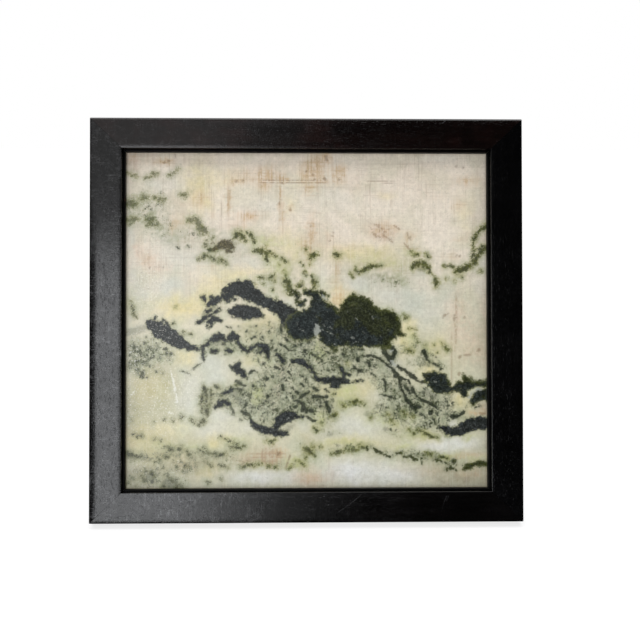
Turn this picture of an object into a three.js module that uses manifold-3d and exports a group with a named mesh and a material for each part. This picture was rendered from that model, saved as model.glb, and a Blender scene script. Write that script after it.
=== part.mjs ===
// Framed stone picture panel that stands on a table: a dark hardwood frame with
// mitred corners holds a polished figured stone slab, and a hinged wooden strut
// at the back makes it free-standing. Two brass ring hangers allow it to hang.
// Millimetres, +Z up, front towards -Y, +X to the viewer's right.
import * as THREE from "three";
import Module from "manifold-3d";
import { mergeVertices } from "three/addons/utils/BufferGeometryUtils.js";

const wasm = await Module();
wasm.setup();

// ---- driving dimensions -------------------------------------------------
const W = 434; // frame, outside width
const H = 405; // frame, outside height
const T = 30; // frame depth, front face to back face
const FACE_V = 32; // face width of the two stiles
const FACE_H = 30.6; // face width of the two rails
const ARRIS_OUT = 2.2; // rounding of the outer front arris
const ARRIS_IN = 0.6; // rounding of the inner front arris
const CROWN_OUT = 9.5; // width over which the face falls to its outer arris
const CROWN_IN = 5.5; // and to its inner arris
const TILT_OUT = 8; // slope of the face where it meets its outer arris, degrees
const TILT_IN = 7; // and its inner arris
const ARRIS_BACK = 1.0; // rounding of the outer back arris
const REBATE_D = 15; // depth of the slab's seat behind the front face
const REBATE_A = 25; // distance of the rebate wall from the outer edge (stile)
const GAP = 0.3; // working gap between pieces that touch
const SLIP_W = 1.9; // inner slip, visible width
const SLIP_TOP = 8.5; // inner slip, its front edge behind the front face
const SLAB_T = 9.6;
const BOARD_T = 4;
const BATTEN_T = 12;
const BATTEN_W = 36;
const LEAN = 12; // the frame leans back this far when it stands
const OPEN = 26; // angle between the frame's back and the open strut
const PIN_Z = 292; // strut hinge pin, height up the back
const PIN_STAND = 4.6; // pin axis behind the batten's back face
const STRUT_T = 10;

const deg = THREE.MathUtils.degToRad;

// ---- materials ----------------------------------------------------------
const mat = (color, roughness, metalness) =>
  new THREE.MeshStandardMaterial({ color, roughness, metalness });
const WOOD = mat(0x1b1715, 0.42, 0);
const SLIPWOOD = mat(0x0c0a09, 0.5, 0);
const STONE = mat(0xc9c6b0, 0.25, 0);
const PLY = mat(0x7a5a3a, 0.7, 0);
const BRASS = mat(0xb08d4a, 0.35, 1);
const KEYWOOD = mat(0x5a3a24, 0.6, 0);
const CORK = mat(0xa27a50, 0.9, 0);

// ---- helpers ------------------------------------------------------------
function bare(geometry) {
  const g = geometry.index ? geometry.toNonIndexed() : geometry.clone();
  const b = new THREE.BufferGeometry();
  b.setAttribute("position", g.getAttribute("position"));
  return mergeVertices(b, 1e-4);
}

function flipped(g) {
  const i = g.index.array;
  for (let k = 0; k < i.length; k += 3) [i[k + 1], i[k + 2]] = [i[k + 2], i[k + 1]];
  return g;
}

function signedVolume(g) {
  const p = g.getAttribute("position");
  const a = new THREE.Vector3();
  const b = new THREE.Vector3();
  const c = new THREE.Vector3();
  let v = 0;
  for (let k = 0; k < g.index.count; k += 3) {
    a.fromBufferAttribute(p, g.index.getX(k));
    b.fromBufferAttribute(p, g.index.getX(k + 1));
    c.fromBufferAttribute(p, g.index.getX(k + 2));
    v += a.dot(b.cross(c));
  }
  return v / 6;
}

// A clean closed geometry with its faces pointing out.
function closed(geometry) {
  const g = bare(geometry);
  return signedVolume(g) < 0 ? flipped(g) : g;
}

function solid(geometry) {
  const g = closed(geometry);
  return new wasm.Manifold(
    new wasm.Mesh({
      numProp: 3,
      vertProperties: Float32Array.from(g.getAttribute("position").array),
      triVerts: Uint32Array.from(g.index.array),
    }),
  );
}

function geometryOf(manifold) {
  const m = manifold.getMesh();
  const v = new Float32Array(m.numVert * 3);
  for (let i = 0; i < m.numVert; i++)
    v.set(m.vertProperties.subarray(i * m.numProp, i * m.numProp + 3), i * 3);
  const g = new THREE.BufferGeometry();
  g.setAttribute("position", new THREE.BufferAttribute(v, 3));
  g.setIndex(new THREE.BufferAttribute(Uint32Array.from(m.triVerts), 1));
  return g;
}

const cut = (geometry, ...tools) =>
  geometryOf(tools.reduce((s, t) => s.subtract(solid(t)), solid(geometry)));
const join = (geometry, ...others) =>
  geometryOf(others.reduce((s, t) => s.add(solid(t)), solid(geometry)));

function box(x0, x1, y0, y1, z0, z1) {
  return new THREE.BoxGeometry(x1 - x0, y1 - y0, z1 - z0).translate(
    (x0 + x1) / 2,
    (y0 + y1) / 2,
    (z0 + z1) / 2,
  );
}

// Cylinder along Y, from y0 to y1.
function rodY(x, z, r, y0, y1, n = 16) {
  return new THREE.CylinderGeometry(r, r, y1 - y0, n).translate(x, (y0 + y1) / 2, z);
}

// Cylinder along X.
function rodX(y, z, r, x0, x1, n = 20) {
  return new THREE.CylinderGeometry(r, r, x1 - x0, n)
    .rotateZ(Math.PI / 2)
    .translate((x0 + x1) / 2, y, z);
}

function arc(points, ca, cn, r, from, to, n) {
  for (let i = 0; i <= n; i++) {
    const t = deg(from + ((to - from) * i) / n);
    points.push([ca + r * Math.cos(t), cn + r * Math.sin(t)]);
  }
}

// Board with chamfered long edges, length along X, back face towards +Y.
function chamferedX(x0, x1, y0, y1, z0, z1, c) {
  const s = new THREE.Shape([
    new THREE.Vector2(y0, z0),
    new THREE.Vector2(y1 - c, z0),
    new THREE.Vector2(y1, z0 + c),
    new THREE.Vector2(y1, z1 - c),
    new THREE.Vector2(y1 - c, z1),
    new THREE.Vector2(y0, z1),
  ]);
  const g = new THREE.ExtrudeGeometry(s, { depth: x1 - x0, bevelEnabled: false });
  // shape x -> Y, shape y -> Z, depth -> X
  const m = new THREE.Matrix4().set(0, 0, 1, x0, 1, 0, 0, 0, 0, 1, 0, 0, 0, 0, 0, 1);
  return g.applyMatrix4(m);
}

// ---- frame member profile ----------------------------------------------
// a is the distance in from the outer edge (for a stile), n is the depth
// behind the front face. Rails use the same profile, narrowed to FACE_H.
function memberProfile() {
  const p = [];
  // depth of the face where a shoulder of this width meets an arris of radius r
  const width = (crown, r, tilt) => crown - r + r * Math.sin(deg(tilt));
  const drop = (crown, r, tilt) => (Math.tan(deg(tilt)) * width(crown, r, tilt)) / 2;
  // the flat middle falls to each arris along a parabola
  const shoulder = (edge, way, crown, r, tilt, steps) => {
    for (const k of steps) {
      const u = k * width(crown, r, tilt);
      p.push([edge + way * (crown - u), drop(crown, r, tilt) * k * k]);
    }
  };
  const fallOut = drop(CROWN_OUT, ARRIS_OUT, TILT_OUT) + ARRIS_OUT * Math.cos(deg(TILT_OUT));
  const fallIn = drop(CROWN_IN, ARRIS_IN, TILT_IN) + ARRIS_IN * Math.cos(deg(TILT_IN));
  arc(p, ARRIS_OUT, fallOut, ARRIS_OUT, 180, 270 - TILT_OUT, 6);
  shoulder(0, 1, CROWN_OUT, ARRIS_OUT, TILT_OUT, [0.8, 0.6, 0.4, 0.2, 0]);
  shoulder(FACE_V, -1, CROWN_IN, ARRIS_IN, TILT_IN, [0, 0.25, 0.5, 0.75]);
  arc(p, FACE_V - ARRIS_IN, fallIn, ARRIS_IN, 270 + TILT_IN, 360, 4);
  p.push([FACE_V, REBATE_D]);
  p.push([REBATE_A, REBATE_D]);
  p.push([REBATE_A, T]);
  arc(p, ARRIS_BACK, T - ARRIS_BACK, ARRIS_BACK, 90, 180, 3);
  return p;
}

// A straight member with both ends mitred from corner to corner. side is one
// of top, bottom, left, right.
function member(side) {
  const rail = side === "top" || side === "bottom";
  const own = rail ? FACE_H / FACE_V : 1;
  const slope = rail ? FACE_V / FACE_H : FACE_H / FACE_V; // along per a
  const half = (rail ? W : H) / 2;
  const shape = new THREE.Shape(memberProfile().map(([a, n]) => new THREE.Vector2(a, n)));
  const g = bare(new THREE.ExtrudeGeometry(shape, { depth: 1, bevelEnabled: false }));
  const p = g.getAttribute("position");
  for (let i = 0; i < p.count; i++) {
    const a = p.getX(i) * own;
    const n = p.getY(i);
    const t = (p.getZ(i) > 0.5 ? 1 : -1) * (half - a * slope - GAP / 2);
    if (side === "top") p.setXYZ(i, t, n, H - a);
    if (side === "bottom") p.setXYZ(i, t, n, a);
    if (side === "left") p.setXYZ(i, -W / 2 + a, n, H / 2 + t);
    if (side === "right") p.setXYZ(i, W / 2 - a, n, H / 2 + t);
  }
  return g;
}

// Small mitred slip round the sight edge, in front of the slab.
function slip(side) {
  const rail = side === "top" || side === "bottom";
  const face = rail ? FACE_H : FACE_V;
  const half = (rail ? W / 2 - FACE_V : H / 2 - FACE_H) - GAP;
  const n0 = SLIP_TOP;
  const n1 = REBATE_D;
  // b is the distance in from the sight edge
  const prof = [
    [0, n0],
    [SLIP_W - 0.7, n0],
    [SLIP_W - 0.2, n0 + 0.2],
    [SLIP_W, n0 + 0.7],
    [SLIP_W, n1],
    [0, n1],
  ];
  const shape = new THREE.Shape(prof.map(([b, n]) => new THREE.Vector2(b, n)));
  const g = bare(new THREE.ExtrudeGeometry(shape, { depth: 1, bevelEnabled: false }));
  const p = g.getAttribute("position");
  for (let i = 0; i < p.count; i++) {
    const b = p.getX(i);
    const n = p.getY(i);
    const a = face + GAP + b;
    const t = (p.getZ(i) > 0.5 ? 1 : -1) * (half - b - GAP / 2);
    if (side === "top") p.setXYZ(i, t, n, H - a);
    if (side === "bottom") p.setXYZ(i, t, n, a);
    if (side === "left") p.setXYZ(i, -W / 2 + a, n, H / 2 + t);
    if (side === "right") p.setXYZ(i, W / 2 - a, n, H / 2 + t);
  }
  return g;
}

// ---- the whole object ---------------------------------------------------
const root = new THREE.Group();
// Panel frame: x across, y backwards through the frame, z up the frame.
const panel = new THREE.Group();
panel.rotation.x = -deg(LEAN);
panel.position.set(0, -T * Math.cos(deg(LEAN)), T * Math.sin(deg(LEAN)));
root.add(panel);

function add(parent, name, geometry, material) {
  const g = closed(geometry);
  g.computeVertexNormals();
  const m = new THREE.Mesh(g, material);
  m.name = name;
  parent.add(m);
  return m;
}

// Corner keys: loose tenons let across each mitre, hidden inside.
const KEY = { across: 26, along: 12, t: 4, n: 7 };
const cornerX = W / 2 - FACE_V / 2;
const cornerZ = FACE_H / 2;
function keyBox(sx, sz, grow) {
  // sx, sz are -1 or 1: which corner
  const g = new THREE.BoxGeometry(
    KEY.across + 2 * grow,
    KEY.t + 2 * grow,
    KEY.along + 2 * grow,
  );
  const tilt = Math.atan2(FACE_H, FACE_V);
  const a = sx * sz > 0 ? -(tilt + Math.PI / 2) : tilt + Math.PI / 2;
  g.rotateY(a);
  return g.translate(sx * cornerX, KEY.n, sz > 0 ? H - cornerZ : cornerZ);
}
const corners = { tl: [-1, 1], tr: [1, 1], bl: [-1, -1], br: [1, -1] };

// Screws: domed slotted head, plain shank, along +Y (driven from the back).
function screw(x, z, yFace, len, r = 1.6, head = 3.3) {
  const hh = head * 0.5;
  const pts = [new THREE.Vector2(0, 0), new THREE.Vector2(r * 0.35, 0.01)];
  pts.push(new THREE.Vector2(r, r * 1.6));
  pts.push(new THREE.Vector2(r, len));
  pts.push(new THREE.Vector2(head, len));
  for (let i = 1; i <= 3; i++) {
    const t = (i / 4) * (Math.PI / 2);
    pts.push(new THREE.Vector2(head * Math.cos(t), len + hh * Math.sin(t)));
  }
  pts.push(new THREE.Vector2(0, len + hh));
  const body = new THREE.LatheGeometry(pts, 16).translate(x, yFace - len, z);
  return cut(
    body,
    box(x - 0.45, x + 0.45, yFace + hh * 0.45, yFace + hh + 2, z - head - 1, z + head + 1),
  );
}

// Battens on the back of the frame.
const yB = T + GAP; // battens' front face
const yBB = yB + BATTEN_T; // battens' back face
const HINGE_RAIL = [PIN_Z - 8, PIN_Z - 8 + BATTEN_W + 6];
const LOWER = [62, 62 + BATTEN_W];
const battenHalf = W / 2 - 9;
const screwX = W / 2 - 19;
const battenScrews = [];
for (const [row, [z0, z1]] of [
  ["upper", HINGE_RAIL],
  ["lower", LOWER],
])
  for (const [side, sx] of [
    ["left", -1],
    ["right", 1],
  ])
    for (const [k, z] of [
      ["a", z0 + 9],
      ["b", z1 - 9],
    ])
      battenScrews.push({ name: `batten_screw_${row}_${side}_${k}`, x: sx * screwX, z });
const BATTEN_SCREW_LEN = 24;
const battenHoles = battenScrews.map((s) =>
  rodY(s.x, s.z, 1.6 + GAP, yBB + GAP - BATTEN_SCREW_LEN - 0.6, yBB + 1),
);

// Ring hangers near the top of the stiles.
const HANG_Z = 352;
const HANG_X = W / 2 - 14;
const hangers = [
  ["left", -HANG_X],
  ["right", HANG_X],
];
const hangHoles = [];
for (const [, x] of hangers)
  for (const dz of [8, 20])
    hangHoles.push(rodY(x, HANG_Z + dz, 1.4 + GAP, T - 13.5, T + 1));

// Frame members, cut for the keys and the screws.
for (const side of ["top", "bottom", "left", "right"]) {
  const touching = Object.entries(corners).filter(([, [sx, sz]]) =>
    side === "top" ? sz > 0 : side === "bottom" ? sz < 0 : side === "left" ? sx < 0 : sx > 0,
  );
  const tools = touching.map(([, [sx, sz]]) => keyBox(sx, sz, GAP));
  if (side === "left" || side === "right") {
    const sx = side === "left" ? -1 : 1;
    battenScrews.forEach((s, i) => {
      if (Math.sign(s.x) === sx) tools.push(battenHoles[i]);
    });
    hangHoles.forEach((h, i) => {
      if ((i < 2) === sx < 0) tools.push(h);
    });
  }
  const name = { top: "top_rail", bottom: "bottom_rail", left: "left_stile", right: "right_stile" }[side];
  add(panel, name, cut(member(side), ...tools), WOOD);
}
for (const [k, [sx, sz]] of Object.entries(corners))
  add(panel, `corner_key_${k}`, keyBox(sx, sz, 0), KEYWOOD);

for (const side of ["top", "bottom", "left", "right"])
  add(panel, `inner_slip_${side}`, slip(side), SLIPWOOD);

// Slab on two setting blocks, and the board behind it.
const rebateZ = (REBATE_A * FACE_H) / FACE_V;
const slabY = REBATE_D + GAP;
const slabX = W / 2 - REBATE_A - 1;
const slabZ0 = rebateZ + 2.2;
const slabZ1 = H - rebateZ - 1.2;
add(
  panel,
  "stone_panel",
  box(-slabX, slabX, slabY, slabY + SLAB_T, slabZ0, slabZ1),
  STONE,
);
for (const [side, x] of [
  ["left", -110],
  ["right", 110],
])
  add(
    panel,
    `setting_block_${side}`,
    box(x - 15, x + 15, slabY + 0.8, slabY + SLAB_T - 0.8, rebateZ + GAP, slabZ0 - GAP),
    CORK,
  );
const boardY = slabY + SLAB_T + GAP;
add(
  panel,
  "back_board",
  box(-slabX, slabX, boardY, boardY + BOARD_T, rebateZ + 0.8, H - rebateZ - 0.8),
  PLY,
);

// Strut hinge: fixed leaf on the upper batten, moving leaf on the strut.
const pinY = yBB + PIN_STAND;
const KN_R = 3.3;
const PIN_R = 1.5;
const leafHalf = 25;
const knuckles = 5; // odd ones belong to the fixed leaf
const kw = (2 * leafHalf) / knuckles;
const LEAF_T = 1.4;
function leaf(own, plate) {
  const barrels = [];
  const clear = [];
  for (let i = 0; i < knuckles; i++) {
    const x0 = -leafHalf + i * kw;
    if (i % 2 === own) barrels.push(rodX(pinY, PIN_Z, KN_R, x0 + 0.2, x0 + kw - 0.2, 20));
    else clear.push(rodX(pinY, PIN_Z, KN_R + 0.5, x0 - 0.2, x0 + kw + 0.2, 20));
  }
  let s = clear.reduce((q, c) => q.subtract(solid(c)), solid(plate));
  s = barrels.reduce((q, b) => q.add(solid(b)), s);
  s = s.subtract(solid(rodX(pinY, PIN_Z, PIN_R + 0.06, -leafHalf - 2, leafHalf + 2, 20)));
  return geometryOf(s);
}
const fixedScrews = [-15, 0, 15].map((x, i) => ({ x, z: PIN_Z + 16 + (i === 1 ? 8 : 0) }));
const strutScrews = [-15, 0, 15].map((x, i) => ({ x, z: PIN_Z - 16 - (i === 1 ? 8 : 0) }));
const fixedPlate = box(-leafHalf, leafHalf, yBB + GAP, yBB + GAP + LEAF_T, PIN_Z, PIN_Z + 32);
add(
  panel,
  "hinge_leaf_fixed",
  cut(
    leaf(0, fixedPlate),
    ...fixedScrews.map((s) => rodY(s.x, s.z, 1.25 + GAP, yBB - 1, yBB + 6)),
  ),
  BRASS,
);
for (const [i, s] of fixedScrews.entries())
  add(
    panel,
    `hinge_screw_fixed_${i + 1}`,
    screw(s.x, s.z, yBB + GAP + LEAF_T + GAP, 10, 1.25, 2.7),
    BRASS,
  );
add(
  panel,
  "hinge_pin",
  join(
    rodX(pinY, PIN_Z, PIN_R, -leafHalf - 0.6, leafHalf + 0.6, 20),
    rodX(pinY, PIN_Z, 2.4, -leafHalf - 1.8, -leafHalf - 0.5, 20),
    rodX(pinY, PIN_Z, 2.4, leafHalf + 0.5, leafHalf + 1.8, 20),
  ),
  BRASS,
);
add(
  panel,
  "upper_batten",
  cut(
    chamferedX(-battenHalf, battenHalf, yB, yBB, HINGE_RAIL[0], HINGE_RAIL[1], 1.5),
    ...battenHoles.slice(0, 4),
    ...fixedScrews.map((s) => rodY(s.x, s.z, 1.25 + GAP, yBB - 9.2, yBB + 1)),
  ),
  WOOD,
);
add(
  panel,
  "lower_batten",
  cut(
    chamferedX(-battenHalf, battenHalf, yB, yBB, LOWER[0], LOWER[1], 1.5),
    ...battenHoles.slice(4, 8),
  ),
  WOOD,
);
for (const s of battenScrews)
  add(panel, s.name, screw(s.x, s.z, yBB + GAP, BATTEN_SCREW_LEN, 1.6, 3.3), BRASS);

// Strut, drawn folded flat, then opened about the pin. Its two horns pass the
// pin and land on the upper batten, which stops it at its open angle.
const strut = new THREE.Group();
strut.position.set(0, pinY, PIN_Z);
strut.rotation.x = deg(OPEN);
panel.add(strut);
const toStrut = (g) => g.translate(0, -pinY, -PIN_Z);
const strutY0 = pinY + 0.1;
const strutY1 = strutY0 + STRUT_T;
const lean = deg(LEAN);
const pinRow = {
  y: -T * Math.cos(lean) + pinY * Math.cos(lean) + PIN_Z * Math.sin(lean),
  z: T * Math.sin(lean) - pinY * Math.sin(lean) + PIN_Z * Math.cos(lean),
};
// Length down the strut's front face to the floor, with the strut's foot cut
// level when it stands open.
const phi = deg(OPEN - LEAN);
const footFront = (pinRow.z - 0.1 * Math.sin(phi)) / Math.cos(phi);
const HORN = (PIN_STAND - 0.35) / Math.sin(deg(OPEN));
const topHalf = 40;
const footHalf = 32;
const notchHalf = leafHalf + 2.6;
const outline = new THREE.Shape([
  new THREE.Vector2(-footHalf, PIN_Z - footFront - 8),
  new THREE.Vector2(footHalf, PIN_Z - footFront - 8),
  new THREE.Vector2(topHalf, PIN_Z - 30),
  new THREE.Vector2(topHalf, PIN_Z + HORN - 3),
  new THREE.Vector2(topHalf - 3, PIN_Z + HORN),
  new THREE.Vector2(notchHalf, PIN_Z + HORN),
  new THREE.Vector2(notchHalf, PIN_Z - 4.6),
  new THREE.Vector2(-notchHalf, PIN_Z - 4.6),
  new THREE.Vector2(-notchHalf, PIN_Z + HORN),
  new THREE.Vector2(-topHalf + 3, PIN_Z + HORN),
  new THREE.Vector2(-topHalf, PIN_Z + HORN - 3),
  new THREE.Vector2(-topHalf, PIN_Z - 30),
]);
// A rounded finger hole near the foot, to pull the strut out by.
const HOLE_Z = PIN_Z - footFront + 46;
const fingerHole = new THREE.Path();
fingerHole.absarc(0, HOLE_Z, 11, 0, Math.PI * 2, true);
outline.holes.push(fingerHole);
let strutBody = new THREE.ExtrudeGeometry(outline, {
  depth: STRUT_T,
  bevelEnabled: false,
  curveSegments: 14,
}).applyMatrix4(
  new THREE.Matrix4().set(1, 0, 0, 0, 0, 0, 1, strutY0, 0, 1, 0, 0, 0, 0, 0, 1),
);
// Level cut under the foot: the floor seen from the folded strut.
const footCut = new THREE.BoxGeometry(200, 120, 60)
  .translate(0, 0, -30)
  .applyMatrix4(
    new THREE.Matrix4()
      .makeTranslation(0, pinY, PIN_Z)
      .multiply(new THREE.Matrix4().makeRotationX(-phi))
      .multiply(new THREE.Matrix4().makeTranslation(0, 70, -pinRow.z)),
  );
const strutLeafPlate = box(
  -leafHalf,
  leafHalf,
  strutY0 - GAP - LEAF_T,
  strutY0 - GAP,
  PIN_Z - 32,
  PIN_Z,
);
const strutHoles = strutScrews.map((s) =>
  rodY(s.x, s.z, 1.25 + GAP, strutY0 - 4, strutY0 + 8.6),
);
const knuckleRoom = box(-notchHalf, notchHalf, strutY0 - 1, strutY1 + 1, PIN_Z - 4.6, PIN_Z);
add(
  strut,
  "strut",
  toStrut(cut(strutBody, footCut, knuckleRoom, ...strutHoles)),
  WOOD,
);
add(
  strut,
  "hinge_leaf_strut",
  toStrut(
    cut(leaf(1, strutLeafPlate), ...strutScrews.map((s) => rodY(s.x, s.z, 1.25 + GAP, strutY0 - 6, strutY0 + 1))),
  ),
  BRASS,
);
for (const [i, s] of strutScrews.entries()) {
  // driven from the front face of the strut, heads towards the frame
  const g = screw(0, 0, 0, 8, 1.25, 2.2).rotateZ(Math.PI).translate(s.x, strutY0 - GAP - LEAF_T - GAP, s.z);
  add(strut, `hinge_screw_strut_${i + 1}`, toStrut(g), BRASS);
}

// Ring hangers: a folded brass plate with an eye, and a ring that swings in it.
for (const [side, x] of hangers) {
  const y0 = T + GAP;
  const eyeY = y0 + 3.4;
  const eyeZ = HANG_Z - 2;
  const plate = box(x - 7, x + 7, y0, y0 + 1.2, HANG_Z - 2, HANG_Z + 27);
  const eyeL = rodX(eyeY, eyeZ, 3.0, x - 7, x - 2.0, 18);
  const eyeR = rodX(eyeY, eyeZ, 3.0, x + 2.0, x + 7, 18);
  const bridgeL = box(x - 7, x - 2.0, y0, eyeY, eyeZ - 2.2, eyeZ + 2.2);
  const bridgeR = box(x + 2.0, x + 7, y0, eyeY, eyeZ - 2.2, eyeZ + 2.2);
  const body = cut(
    join(plate, eyeL, eyeR, bridgeL, bridgeR),
    box(x - 2.0, x + 2.0, y0 - 1, eyeY + 5, eyeZ - 5, eyeZ + 4.2),
    rodX(eyeY, eyeZ, 1.3, x - 9, x + 9, 18),
    ...[8, 20].map((dz) => rodY(x, HANG_Z + dz, 1.4 + GAP, y0 - 1, y0 + 3)),
  );
  add(panel, `hanger_plate_${side}`, body, BRASS);
  for (const [k, dz] of [
    ["a", 8],
    ["b", 20],
  ])
    add(
      panel,
      `hanger_screw_${side}_${k}`,
      screw(x, HANG_Z + dz, y0 + 1.2 + GAP, 13, 1.4, 2.9),
      BRASS,
    );
  // D ring: a straight bar through the eyes and a bow below it, hanging plumb.
  const ring = new THREE.Group();
  ring.position.set(x, eyeY, eyeZ);
  ring.rotation.x = deg(LEAN);
  panel.add(ring);
  const rr = 1.15;
  const bowR = 9.4;
  const pts = [];
  for (let i = 0; i <= 16; i++) {
    const t = Math.PI + (Math.PI * i) / 16;
    pts.push(new THREE.Vector3(bowR * Math.cos(t), 0, -6 + bowR * Math.sin(t)));
  }
  const bow = new THREE.CatmullRomCurve3([
    new THREE.Vector3(-bowR, 0, 0),
    ...pts,
    new THREE.Vector3(bowR, 0, 0),
  ], false, "centripetal");
  const section = new THREE.Shape();
  section.absarc(0, 0, rr, 0, Math.PI * 2, false);
  const bowG = new THREE.ExtrudeGeometry(section, {
    steps: 40,
    extrudePath: bow,
    curveSegments: 5,
    bevelEnabled: false,
  });
  const bar = rodX(0, 0, rr, -bowR - rr * 0.6, bowR + rr * 0.6, 12);
  add(ring, `hanger_ring_${side}`, join(bowG, bar), BRASS);
}

// Centre the footprint: the row frame's origin is under the middle of the box.
root.updateMatrixWorld(true);
const bounds = new THREE.Box3().setFromObject(root, true);
panel.position.y -= (bounds.min.y + bounds.max.y) / 2;
panel.position.z -= bounds.min.z;

export default root;
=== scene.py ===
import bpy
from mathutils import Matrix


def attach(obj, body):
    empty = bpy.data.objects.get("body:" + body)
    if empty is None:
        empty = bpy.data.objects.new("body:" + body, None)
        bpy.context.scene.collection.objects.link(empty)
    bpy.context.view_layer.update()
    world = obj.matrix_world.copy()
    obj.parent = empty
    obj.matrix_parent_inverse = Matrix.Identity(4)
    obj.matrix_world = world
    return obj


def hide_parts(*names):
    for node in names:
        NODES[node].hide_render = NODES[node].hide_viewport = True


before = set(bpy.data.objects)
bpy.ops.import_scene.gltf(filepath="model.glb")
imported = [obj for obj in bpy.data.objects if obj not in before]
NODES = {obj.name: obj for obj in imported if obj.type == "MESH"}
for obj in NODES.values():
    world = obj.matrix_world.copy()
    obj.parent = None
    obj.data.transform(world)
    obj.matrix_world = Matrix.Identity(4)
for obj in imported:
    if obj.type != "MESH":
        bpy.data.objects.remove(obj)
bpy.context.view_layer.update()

import math

import bmesh
import bpy
import numpy as np
from mathutils import Matrix, Vector

# ---------------------------------------------------------------- numbers
W, H, T = 0.434, 0.405, 0.030
LEAN = math.radians(12)
# The panel's lower front edge, from the bottom rail's back and underside.
UPRIGHT = Matrix.Rotation(LEAN, 3, "X")
RAIL = [UPRIGHT @ (NODES["bottom_rail"].matrix_world @ v.co) for v in NODES["bottom_rail"].data.vertices]
PANEL_POS = UPRIGHT.inverted() @ Vector((0, max(p.y for p in RAIL) - T, min(p.z for p in RAIL)))
# Panel frame (x across, y back through the frame, z up the frame) to row frame.
# Height of the panel's foot along its own z axis, as the rotated object
# coordinates of the stone's shader measure it.
STONE_Z = (UPRIGHT @ PANEL_POS).z
FACE_Y = (UPRIGHT @ PANEL_POS).y
STONE_GAIN = 0.81
PANEL = Matrix.Translation(PANEL_POS) @ Matrix.Rotation(-LEAN, 4, "X")


def panel_point(x, y, z):
    return PANEL @ Vector((x, y, z))


# ---------------------------------------------------------------- camera
# The photograph looks almost square on to the frame, about a metre in front of
# it. Place and aim are in the panel frame, fitted to the frame's corners.
CAM_AT = Vector((-0.009954, -0.963572, 0.186933))
YAW, PITCH, ROLL = (math.radians(a) for a in (-1.3542, -0.9177, -0.0631))
FOCAL_PX = 964.31
cam_data = bpy.data.cameras.new("camera")
cam = bpy.data.objects.new("camera", cam_data)
bpy.context.scene.collection.objects.link(cam)
bpy.context.scene.camera = cam
cam_data.sensor_width = 36.0
cam_data.sensor_fit = "HORIZONTAL"
cam_data.lens = 36.0 * FOCAL_PX / 640.0
cam_data.clip_start, cam_data.clip_end = 0.02, 50
z_axis = Vector((math.sin(YAW) * math.cos(PITCH), -math.cos(YAW) * math.cos(PITCH), math.sin(PITCH)))
x_axis = Vector((0, 0, 1)).cross(z_axis).normalized()
y_axis = z_axis.cross(x_axis)
turned = Matrix((x_axis, y_axis, z_axis)).transposed() @ Matrix.Rotation(ROLL, 3, "Z")
cam.rotation_euler = (PANEL.to_3x3() @ turned).to_euler()
cam.location = PANEL @ CAM_AT


# ---------------------------------------------------------------- noise
_GRIDS = {}


def gnoise(x, y, seed):
    """Smooth gradient noise, about 0..1, on arrays."""
    if seed not in _GRIDS:
        a = np.random.default_rng(seed).random((256, 256)) * 2 * math.pi
        _GRIDS[seed] = (np.cos(a), np.sin(a))
    gx, gy = _GRIDS[seed]
    xi, yi = np.floor(x).astype(int), np.floor(y).astype(int)
    fx, fy = x - xi, y - yi
    ux = fx * fx * fx * (fx * (fx * 6 - 15) + 10)
    uy = fy * fy * fy * (fy * (fy * 6 - 15) + 10)

    def corner(i, j):
        k = (yi + j) % 256, (xi + i) % 256
        return gx[k] * (fx - i) + gy[k] * (fy - j)

    top = corner(0, 0) * (1 - ux) + corner(1, 0) * ux
    low = corner(0, 1) * (1 - ux) + corner(1, 1) * ux
    return 0.5 + 0.75 * (top * (1 - uy) + low * uy)


def fbm(x, y, seed, octaves=4, gain=0.55):
    total, amp, norm = 0, 1.0, 0.0
    for o in range(octaves):
        total = total + amp * gnoise(x + 17.3 * o, y + 5.1 * o, seed + o)
        norm += amp
        amp *= gain
        x, y = 1.6 * x - 1.2 * y, 1.2 * x + 1.6 * y  # twice as fine, turned by 37 degrees
    return total / norm


def smooth(e0, e1, x):
    t = np.clip((x - e0) / (e1 - e0), 0, 1)
    return t * t * (3 - 2 * t)


def lin(c):
    """A colour typed in 0..255 to linear light."""
    c = np.asarray(c, float) / 255
    return np.where(c <= 0.04045, c / 12.92, ((c + 0.055) / 1.055) ** 2.4)


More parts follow.
